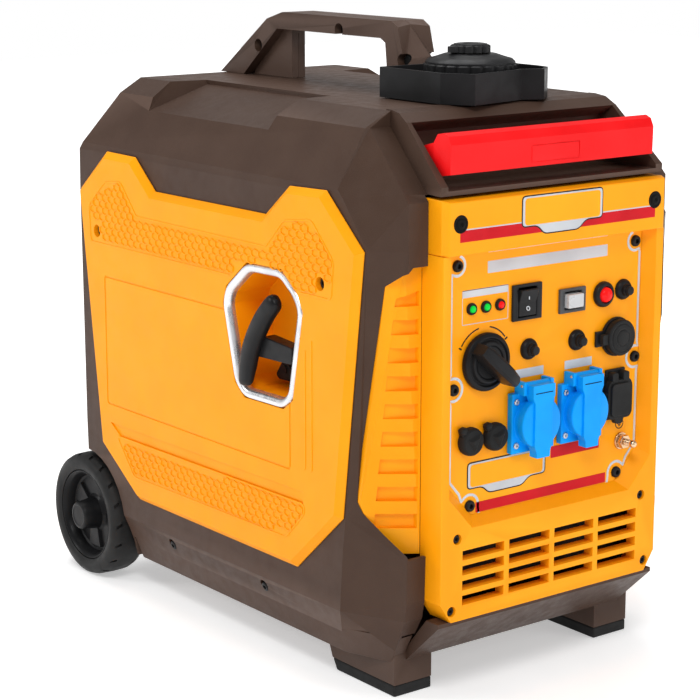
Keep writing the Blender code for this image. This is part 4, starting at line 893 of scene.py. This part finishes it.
def make_parallel_caps():
    for index in (1, 2):
        name = f"parallel_outlet_cap_{index}"
        low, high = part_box(name)
        x, z = high.x - 0.0125, low.z + 0.0125
        seat = world(x, PANEL_FACE, z)
        dome = [(0.0, 0.0006), (0.0118, 0.0006), (0.0125, 0.0016), (0.0125, 0.005), (0.0119, 0.0072),
                (0.0104, 0.0088), (0.0, 0.0092)]
        body = lathe(dome, seat, segments=48)
        wedge = loft([
            [world(x + a, PANEL_FACE - 0.0086, z + b) for a, b in
             ((-0.0085, 0.003), (0.0085, 0.0075), (0.001, -0.0098))],
            [world(x + a, PANEL_FACE - 0.0116, z + b) for a, b in
             ((-0.004, 0.0012), (0.0046, 0.0042), (0.0006, -0.005))],
        ])
        merge(body, wedge)
        strap = softened([(x - 0.0135, z + 0.012), (x - 0.007, z + 0.0145), (x - 0.004, z + 0.008),
                          (x - 0.01, z + 0.004)], 0.0022)
        merge(body, slab(strap, "Y", PANEL_FACE - 0.007, PANEL_FACE - 0.0016))
        knob = [(0.0, 0.0), (0.0034, 0.0), (0.0036, 0.001), (0.0034, 0.0032), (0.0022, 0.0044),
                (0.0, 0.0047)]
        merge(body, lathe(knob, world(x - 0.01, PANEL_FACE - 0.004, z + 0.0105), segments=28))
        piece(f"parallel_cap_{index}", body, "black_rubber", name, [name], bevel=0.001, segments=3)


def make_ground_stud():
    x, z = GROUND_STUD
    seat = world(x, PANEL_FACE, z)
    washer = lathe([(0.0036, 0.0), (0.008, 0.0), (0.0082, 0.0004), (0.0078, 0.0016), (0.0036, 0.0016)],
                          seat, segments=40, hollow=True)
    nut = lathe([(0.0, 0.0016), (0.0064, 0.0016), (0.0069, 0.0024), (0.0069, 0.0062), (0.0064, 0.007),
                 (0.0, 0.007)], seat, segments=6)
    merge(washer, nut)
    threads = [(0.0, 0.0068)]
    for k in range(7):
        threads += [(0.0028, 0.007 + 0.001 * k), (0.0033, 0.0075 + 0.001 * k)]
    threads += [(0.0028, 0.0141), (0.0036, 0.0144)]
    threads += [(0.0036 * math.cos(a), 0.016 + 0.0036 * math.sin(a))
                for a in [math.pi / 2 * k / 6 for k in range(6)]] + [(0.0, 0.0196)]
    merge(washer, lathe(threads, seat, segments=32))
    piece("ground_stud", washer, "brass", "enclosure", ["ground_terminal"], bevel=0.0003)


def make_front():
    make_front_nodes()
    make_panel_screws()
    make_printing()
    make_socket(1)
    make_socket(2)
    make_engine_switch()
    make_eco_switch()
    make_reset_and_breakers()
    make_knob()
    make_lamps()
    make_dc_cap()
    make_usb_cap()
    make_parallel_caps()
    make_ground_stud()


# Sides


def inside(point, polygon):
    """True if a (depth, z) point lies in a polygon."""
    a, b = point
    hit = False
    for i in range(len(polygon)):
        (ax, az), (bx, bz) = polygon[i - 1], polygon[i]
        if (az > b) != (bz > b) and a < (bx - ax) * (b - az) / (bz - az) + ax:
            hit = not hit
    return hit


CELL_WIDTH = 0.0113
CELL_HEIGHT = 0.0085
CELL_RISE = 0.0011
CREST = 0.00065


def honeycomb(side, polygon, holes=()):
    """A raised net of six-sided cells inside a (depth, z) polygon on a side panel's face."""
    bm = bmesh.new()
    face = side * SIDE_FACE
    crest = side * (SIDE_FACE + CELL_RISE)
    corners = ((0, 0.5), (0.5, 0.25), (0.5, -0.25), (0, -0.5), (-0.5, -0.25), (-0.5, 0.25))
    depths = [p[0] for p in polygon]
    heights = [p[1] for p in polygon]
    rows = int((max(heights) - min(heights)) / (0.75 * CELL_HEIGHT)) + 2
    columns = int((max(depths) - min(depths)) / CELL_WIDTH) + 2
    for row in range(rows):
        for column in range(columns):
            depth = min(depths) + (column + 0.5 * (row % 2)) * CELL_WIDTH
            z = min(heights) + row * 0.75 * CELL_HEIGHT
            if not inside((depth, z), offset(polygon, CELL_HEIGHT * 0.42)):
                continue
            if any(math.hypot(depth - a, z - b) < r for (a, b), r in holes):
                continue
            share = 1 - 2 * CREST / CELL_WIDTH
            low = 1 - 3.4 * CREST / CELL_WIDTH
            rings = []
            for scale, x in ((1.0, crest), (share, crest), (low, face + side * 0.00005)):
                rings.append([
                    bm.verts.new(world(x, depth + a * CELL_WIDTH * scale, z + b * CELL_HEIGHT * scale))
                    for a, b in corners
                ])
            for outer, inner in zip(rings, rings[1:]):
                for i in range(6):
                    j = (i + 1) % 6
                    bm.faces.new((outer[i], outer[j], inner[j], inner[i]))
    bmesh.ops.remove_doubles(bm, verts=bm.verts, dist=2e-5)
    border = [e for e in bm.edges if e.is_boundary and abs(e.verts[0].co.x - crest) < 1e-5
              and abs(e.verts[1].co.x - crest) < 1e-5]
    skirt = bmesh.ops.extrude_edge_only(bm, edges=border)
    for vert in [v for v in skirt["geom"] if isinstance(v, bmesh.types.BMVert)]:
        vert.co.x = face - side * 0.0004
    bmesh.ops.recalc_face_normals(bm, faces=bm.faces)
    return bm


TOP_BAND = [(0.448, 0.414), (0.42, 0.417), (0.392, 0.387), (0.178, 0.387), (0.15, 0.414),
            (0.111, 0.419), (0.081, 0.389), (0.084, 0.357), (0.476, 0.355), (0.478, 0.389)]
LOW_BAND = [(0.434, 0.161), (0.124, 0.165), (0.124, 0.158), (0.151, 0.131), (0.405, 0.128)]
PANEL_SCREWS = [(0.4655, 0.3652), (0.0985, 0.3674)]
RECOIL = [(0.208, 0.37), (0.155, 0.3715), (0.131, 0.353), (0.1235, 0.338), (0.139, 0.2575),
          (0.153, 0.247), (0.2135, 0.246), (0.228, 0.258), (0.2457, 0.3286), (0.24, 0.3444)]


def raised_frame(side, outline, width, rise):
    """A thin moulded ridge round a (depth, z) outline."""
    face = side * SIDE_FACE
    ends = sorted((face - side * 0.0004, face + side * rise))
    outline = divided(outline, 0.003)
    return ring_slab(outline, offset(outline, width), "X", *ends)


def make_side_panel(side, name):
    panel = NODES[f"access_panel_{name}"]
    cuts = bmesh.new()
    groove = softened([(0.4535, 0.3225), (0.4535, 0.1925), (0.142, 0.1935), (0.142, 0.3238)], 0.004)
    low, high = sorted((side * (SIDE_FACE - 0.0009), side * (SIDE_FACE + 0.002)))
    merge(cuts, ring_slab(groove, offset(groove, 0.0018), "X", low, high))
    carve(panel, f"panel_groove_{name}", cuts)
    step = bmesh.new()
    lower = [(0.448, 0.174), (0.124, 0.1775), (0.124, 0.1655), (0.43, 0.1625)]
    low, high = sorted((side * (SIDE_FACE - 0.0016), side * (SIDE_FACE + 0.002)))
    merge(step, slab(lower, "X", low, high))
    carve(panel, f"panel_step_{name}", step)
    well = [(0.0, -0.0062), (0.0058, -0.0062), (0.0062, 0.002), (0.0, 0.002)]
    bores = plugs([world(side * SIDE_FACE, *spot) for spot in PANEL_SCREWS], well, (side, 0, 0), 32)
    carve(panel, f"panel_bores_{name}", bores)
    places = [world(side * (SIDE_FACE - 0.006), *spot) for spot in PANEL_SCREWS]
    make_screws(f"panel_screws_{name}", places, (side, 0, 0), 0.0052, 0.0022)
    holes = [(place, 0.0112) for place in PANEL_SCREWS]
    if side == LEFT:
        holes += [((0.16, 0.352), 0.022), ((0.212, 0.35), 0.024), ((0.184, 0.345), 0.033)]
    net = honeycomb(side, TOP_BAND, holes)
    merge(net, honeycomb(side, LOW_BAND))
    piece(f"honeycomb_{name}", net, "yellow_plastic", smooth=20)
    ridges = bmesh.new()
    for outline in (TOP_BAND, LOW_BAND):
        merge(ridges, raised_frame(side, offset(softened(outline, 0.004), -0.0022), 0.0016, 0.0006))
    if side == RIGHT:
        piece(f"band_ridges_{name}", ridges, "yellow_plastic", bevel=0.0003)
        return
    piece(f"band_ridges_{name}", keep_clear(ridges), "yellow_plastic", bevel=0.0003)
    verticals = bmesh.new()
    for depth, top in ((0.11, 0.316), (0.1195, 0.306)):
        ridge = [(depth, 0.2), (depth + 0.0022, 0.198), (depth + 0.0022, top - 0.003), (depth, top)]
        reach = sorted((side * (SIDE_FACE - 0.0003), side * (SIDE_FACE + 0.0006)))
        merge(verticals, slab(ridge, "X", *reach))
    piece("panel_ridges", verticals, "yellow_plastic", bevel=0.0003)


def keep_clear(bm):
    """Cuts away what would lie over the starter's ring."""
    keep_out = offset(RECOIL, -0.005)
    doomed = []
    for face in bm.faces:
        middle = face.calc_center_median()
        if inside((middle.y - FRONT, middle.z), keep_out):
            doomed.append(face)
    bmesh.ops.delete(bm, geom=doomed, context="FACES")
    return bm


def make_louvre(side, name):
    node = f"corner_louvre_{name}"
    low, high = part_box(node)
    inner = min(abs(low.x), abs(high.x))
    outer = max(abs(low.x), abs(high.x))
    pockets = bmesh.new()
    for k in range(9):
        z = low.z + 0.023 + 0.0244 * k
        reach = outer - 0.009 - 0.0095 * k / 8
        tall = 0.013
        top = z + tall - (0.006 if k == 8 else 0.0)
        start = inner + 0.0022
        shape = [(side * start, z), (side * reach, z), (side * (reach - 0.001), top),
                 (side * start, z + tall)]
        merge(pockets, slab(shape, "Y", low.y - FRONT - 0.02, low.y - FRONT - 0.02 + 0.031))
    carve(NODES[node], f"louvre_pockets_{name}", pocket_depths(pockets, low))


def pocket_depths(bm, low):
    """Lets each pocket's floor follow the plate's slope at a steady depth."""
    for vert in bm.verts:
        if vert.co.y < low.y - 0.005:
            continue
        across = abs(vert.co.x) - 0.129
        share = (vert.co.z - 0.18) / 0.193
        slope = 0.73 - 0.51 * min(1.0, max(0.0, share))
        vert.co.y = FRONT + 0.028 + max(0.0, across) * slope + 0.0042
    return bm


def make_recoil():
    side = LEFT
    outline = softened(RECOIL, 0.01, 6)
    rings = []
    low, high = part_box("recoil_bezel")
    base, crest = -high.x, -low.x
    levels = [(0.0012, base), (0.0002, base + 0.0035), (0.0, crest - 0.0018), (0.0009, crest - 0.0004),
              (0.0022, crest), (0.006, crest - 0.0004), (0.0074, crest - 0.0016), (0.0085, base + 0.002),
              (0.0085, base)]
    for inward, x in levels:
        rings.append([world(side * x, d, z) for d, z in offset(outline, inward)])
    bm = loft(rings + rings[:1], closed=False)
    bmesh.ops.remove_doubles(bm, verts=bm.verts, dist=1e-6)
    bmesh.ops.recalc_face_normals(bm, faces=bm.faces)
    piece("starter_ring", bm, "silver_trim", "enclosure", ["recoil_bezel"])
    make_grip()
    make_rope_guide()


GRIP_LINE = [(0.161, 0.344), (0.172, 0.335), (0.183, 0.323), (0.1935, 0.3085), (0.202, 0.293),
             (0.207, 0.278), (0.2085, 0.2655), (0.208, 0.2575)]


def smooth_path(points, steps=5):
    """Points along a smooth curve through those given."""
    ends = [points[0]] + list(points) + [points[-1]]
    path = []
    for i in range(1, len(ends) - 2):
        p0, p1, p2, p3 = (Vector(p) for p in ends[i - 1:i + 3])
        for k in range(steps):
            t = k / steps
            path.append(0.5 * (2 * p1 + (p2 - p0) * t + (2 * p0 - 5 * p1 + 4 * p2 - p3) * t * t
                               + (3 * p1 - p0 - 3 * p2 + p3) * t ** 3))
    path.append(Vector(points[-1]))
    return path


def make_grip():
    """The starter's pull grip: a rounded bar that curves down, and the stem of its rope."""
    path = smooth_path(GRIP_LINE)
    count = len(path) - 1
    rings = []
    for i, here in enumerate(path):
        share = i / count
        along = (path[min(i + 1, count)] - path[max(i - 1, 0)]).normalized()
        across = Vector((-along.y, along.x))
        close = min(share, 1 - share) / 0.1
        taper = math.sqrt(max(0.0, 1 - (1 - min(1.0, close)) ** 2))
        half = (0.0082 + 0.0016 * math.sin(math.pi * share)) * max(0.12, taper)
        thick = (0.0062 if share < 0.72 else 0.0062 - 0.01 * (share - 0.72)) * max(0.12, taper)
        middle = 0.1826 + (0.0 if share < 0.72 else 0.0025 * (share - 0.72) / 0.28)
        ring = []
        for k in range(20):
            angle = 2 * math.pi * k / 20
            c, s = math.cos(angle), math.sin(angle)
            wide = math.copysign(abs(c) ** 0.75, c) * half
            deep = math.copysign(abs(s) ** 0.75, s) * thick
            ring.append(world(-(middle + deep), here.x + across.x * wide, here.y + across.y * wide))
        rings.append(ring)
    bm = loft(rings)
    stem = softened([(0.144, 0.2875), (0.144, 0.3025), (0.19, 0.306), (0.199, 0.296),
                     (0.199, 0.286)], 0.003)
    merge(bm, slab(stem, "X", -0.18, -0.1655))
    piece("starter_grip", bm, "black_plastic", "recoil_grip", ["recoil_grip"],
          bevel=0.0012, segments=3, smooth=50)


def make_rope_guide():
    low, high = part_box("rope_guide")
    shape = [(0.176, 0.2645), (0.18, 0.26), (0.208, 0.259), (0.212, 0.263), (0.2, 0.279), (0.192, 0.279)]
    outline = softened(shape, 0.004)
    bm = slab(outline, "X", low.x + 0.0015, high.x)
    merge(bm, slab(offset(outline, 0.0022), "X", low.x, low.x + 0.002))
    merge(bm, lathe([(0.0, 0.0), (0.0034, 0.0), (0.004, 0.0008), (0.004, 0.0014), (0.0, 0.0014)],
                    world(low.x, 0.196, 0.27), (-1, 0, 0), 28))
    piece("rope_guide_plate", bm, "black_plastic", "enclosure", ["rope_guide"], bevel=0.0006)


def make_sides():
    for side, name in ((LEFT, "left"), (RIGHT, "right")):
        make_side_panel(side, name)
        make_louvre(side, name)
    make_recoil()


# Body, handles and filler


def make_skirt(side, name):
    """The lower edge of the wall, which runs on down its own slope and hides the base pan's edge."""
    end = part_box(f"enclosure_{name}_half")[1].y - FRONT
    low_corners = [(0.1305, 0.05), (WALL_X - 0.034, 0.05), (WALL_X - 0.018, 0.098),
                   (WALL_X - 0.018, end - 0.096)]
    high_corners = [(0.1305, 0.024), (WALL_X - 0.027, 0.024), (WALL_X, 0.08), (WALL_X, end - 0.096)]
    inward = [(0.0, 0.003), (-0.002, 0.002), (-0.003, 0.001), (-0.003, 0.0)]
    low_z, high_z, edge, foot = 0.032, 0.078, 0.059, 0.0312
    sections = []
    for (ax, ad), (bx, bd), (dx, dd) in zip(low_corners, high_corners, inward):
        section = []
        for z, thick in ((edge, 0.1), (foot, 0.1), (foot, 1.0), (edge, 1.0)):
            share = (z - low_z) / (high_z - low_z)
            x = ax + (bx - ax) * share + dx * thick
            depth = ad + (bd - ad) * share + dd * thick
            section.append(world(side * x, depth, z))
        sections.append(section)
    piece(f"lower_skirt_{name}", loft(sections), "brown_plastic", bevel=0.0006)


def make_shells():
    for side, name in ((LEFT, "left"), (RIGHT, "right")):
        well = [(0.0, -0.006), (0.0052, -0.006), (0.0056, 0.004), (0.0, 0.004)]
        places = [world(side * (WALL_X - 0.0012), depth, SKIRT_SCREW_Z) for depth in SKIRT_SCREWS]
        axis = (side, 0, -0.35)
        carve(NODES[f"enclosure_{name}_half"], f"skirt_bores_{name}", plugs(places, well, axis, 28))
        places = [world(side * (WALL_X - 0.0058), depth, SKIRT_SCREW_Z - 0.001) for depth in SKIRT_SCREWS]
        make_screws(f"skirt_screws_{name}", places, axis, 0.0048, 0.002)
        make_skirt(side, name)


HANDLE_SCREWS = [(0.42, 0.542), (0.2875, 0.564), (0.1925, 0.541)]


def make_carry_handle():
    for name in ("left", "right"):
        carve(NODES[f"carry_handle_{name}_half"], f"handle_bores_{name}", handle_wells(name, 0.0064, -0.01))
        # The screws sit in their wells as near-black plugs: painted shade of the wells.
        piece(f"handle_screws_{name}", handle_wells(name, 0.005, -0.012, -0.0065), "hole_shade_black")


def handle_wells(name, radius, low, high=0.004):
    """Round plugs at the carrying handle's screws, used for the wells and for the screws in them."""
    side = LEFT if name == "left" else RIGHT
    box_low, box_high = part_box(f"carry_handle_{name}_half")
    face = side * max(abs(box_low.x), abs(box_high.x))
    profile = [(0.0, low), (radius, low), (radius, high - 0.0008), (radius * 0.9, high), (0.0, high)]
    return plugs([world(face, *spot) for spot in HANDLE_SCREWS], profile, (side, 0, 0), 28)


def make_pull_handle():
    groove = rounded(0.0, 0.4755, 0.056, 0.015, 0.001)
    cutter = ring_slab(groove, offset(groove, 0.0008), "Y", 0.004, 0.0064)
    carve(NODES["pull_handle"], "pull_handle_groove", cutter, "pull_handle")


def fluted(radius, low, high, place, count, depth):
    """A round grip with rounded flutes, up the Z axis."""
    steps = count * 8
    rings = []
    for z, shrink in ((low, 0.0008), (low + 0.0008, 0.0), (high - 0.001, 0.0), (high, 0.0012)):
        ring = []
        for i in range(steps):
            angle = 2 * math.pi * i / steps
            wave = max(0.0, math.cos(count * angle)) ** 2
            r = radius - shrink - depth * wave
            ring.append(place + Vector((r * math.cos(angle), r * math.sin(angle), z)))
        rings.append(ring)
    return loft(rings)


def make_filler():
    low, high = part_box("fuel_cap")
    place = Vector(((low.x + high.x) / 2, (low.y + high.y) / 2, 0.0))
    radius = (high.x - low.x) / 2
    top = high.z
    body = fluted(radius, low.z, top - 0.0085, place, 22, 0.0016)
    profile = [(0.0, top - 0.01), (radius - 0.002, top - 0.01), (radius - 0.0018, top - 0.007),
               (radius - 0.0045, top - 0.0045), (radius - 0.01, top - 0.003), (0.026, top - 0.001),
               (0.0235, top - 0.0002), (0.0215, top), (0.0, top)]
    merge(body, lathe(profile, place, (0, 0, 1), 88))
    piece("filler_cap", body, "black_plastic", "fuel_cap", ["fuel_cap"])
    low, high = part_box("vent_knob")
    knob = fluted(0.018, low.z, high.z - 0.0012, place, 12, 0.0016)
    merge(knob, lathe([(0.0, high.z - 0.002), (0.0158, high.z - 0.002), (0.015, high.z - 0.0004),
                       (0.013, high.z), (0.0078, high.z), (0.007, high.z - 0.0008), (0.0, high.z - 0.0008)],
                      place, (0, 0, 1), 64))
    depth = place.y - FRONT
    arm = softened([(-0.024, depth + 0.0000), (-0.0225, depth + 0.0055), (-0.012, depth + 0.0075),
                    (-0.012, depth - 0.0045), (-0.0215, depth - 0.0035)], 0.0015)
    merge(knob, slab(arm, "Z", low.z + 0.0012, high.z - 0.0022))
    piece("vent_screw", knob, "black_plastic", "vent_knob", ["vent_knob"])


# Wheels


def make_wheel(side, name):
    low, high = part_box(f"tyre_{name}")
    middle = (low + high) / 2
    radius = (high.z - low.z) / 2
    width = high.x - low.x
    start = Vector((low.x if side == RIGHT else high.x, middle.y, middle.z))
    axis = (side, 0, 0)
    rim = 0.047
    profile = [(rim, 0.001), (radius - 0.0075, 0.0), (radius - 0.0022, 0.0026), (radius - 0.0004, 0.0075),
               (radius, width * 0.5), (radius - 0.0004, width - 0.0075), (radius - 0.0022, width - 0.0026),
               (radius - 0.0075, width), (rim + 0.0024, width - 0.0004), (rim, width - 0.002)]
    tyre = lathe(profile, start, axis, 96, hollow=True)
    obj = piece(f"tyre_body_{name}", tyre, "tyre", f"wheel_{name}", [f"tyre_{name}"], smooth=45)
    grooves = bmesh.new()
    for k in range(18):
        angle = 2 * math.pi * k / 18
        for shift, lean in ((0.003, 0.5), (width - 0.003, -0.5)):
            cut = bmesh.new()
            bmesh.ops.create_cube(cut, size=1.0)
            cut.transform(Matrix.Diagonal((0.0135, 0.003, 0.0046, 1)))
            cut.transform(Matrix.Rotation(lean, 4, "Z"))
            cut.transform(Matrix.Translation((shift, 0.0, radius)))
            cut.transform(Matrix.Rotation(angle + (math.pi / 18 if lean > 0 else 0), 4, "X"))
            cut.transform(Matrix.Translation((low.x, middle.y, middle.z)))
            merge(grooves, cut)
    carve(obj, f"tread_{name}", grooves, f"wheel_{name}")
    hub_low, hub_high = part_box(f"wheel_hub_{name}")
    proud = abs(hub_high.x if side == RIGHT else hub_low.x) - abs(start.x)
    flat = width - 0.003
    hub = [(0.0, 0.004), (rim - 0.0003, 0.004), (rim - 0.0003, flat), (rim - 0.0016, flat + 0.0008),
           (rim - 0.0032, flat - 0.0004), (rim - 0.0052, flat - 0.003), (rim - 0.007, flat - 0.011),
           (rim - 0.009, flat - 0.0122), (0.02, flat - 0.0122), (0.019, flat - 0.0116), (0.017, flat - 0.01),
           (0.016, flat - 0.006), (0.0152, flat - 0.002), (0.0145, proud - 0.0026), (0.0136, proud - 0.0008),
           (0.0118, proud), (0.0108, proud), (0.0104, proud - 0.0007), (0.0, proud - 0.0007)]
    body = lathe(hub, start, axis, 72)
    disc = flat - 0.0125
    for k in range(3):
        wedge = [(0.0165, -0.42), (0.0372, -0.3), (0.0372, 0.3), (0.0165, 0.42)]
        rings = []
        for height, shrink in ((0.0, 0.0), (0.0034, 0.0007)):
            ring = []
            for r, spread in wedge:
                angle = 2 * math.pi * k / 3 + 0.5 + spread
                point = Vector((side * (disc + height), (r - shrink) * math.cos(angle),
                                (r - shrink) * math.sin(angle)))
                ring.append(start + point)
            rings.append(ring)
        merge(body, loft(rings))
    piece(f"hub_{name}", body, "black_plastic", f"wheel_{name}",
          [f"wheel_hub_{name}"], bevel=0.0008, segments=2, smooth=35)


def make_wheels():
    make_wheel(LEFT, "left")
    make_wheel(RIGHT, "right")


# Rear cover


def make_rear():
    low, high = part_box("rear_cover")
    places = [Vector((side * (high.x - 0.012), high.y - 0.0002, z)) for side in (LEFT, RIGHT)
              for z in (low.z + 0.012, high.z - 0.012)]
    make_screws("rear_cover_screws", places, (0, 1, 0), 0.005, 0.0022)


def main():
    clean_nodes()
    make_stage()
    make_front()
    make_sides()
    make_shells()
    make_carry_handle()
    make_pull_handle()
    make_filler()
    make_wheels()
    make_rear()
    round_nodes()
    bpy.context.view_layer.update()


main()
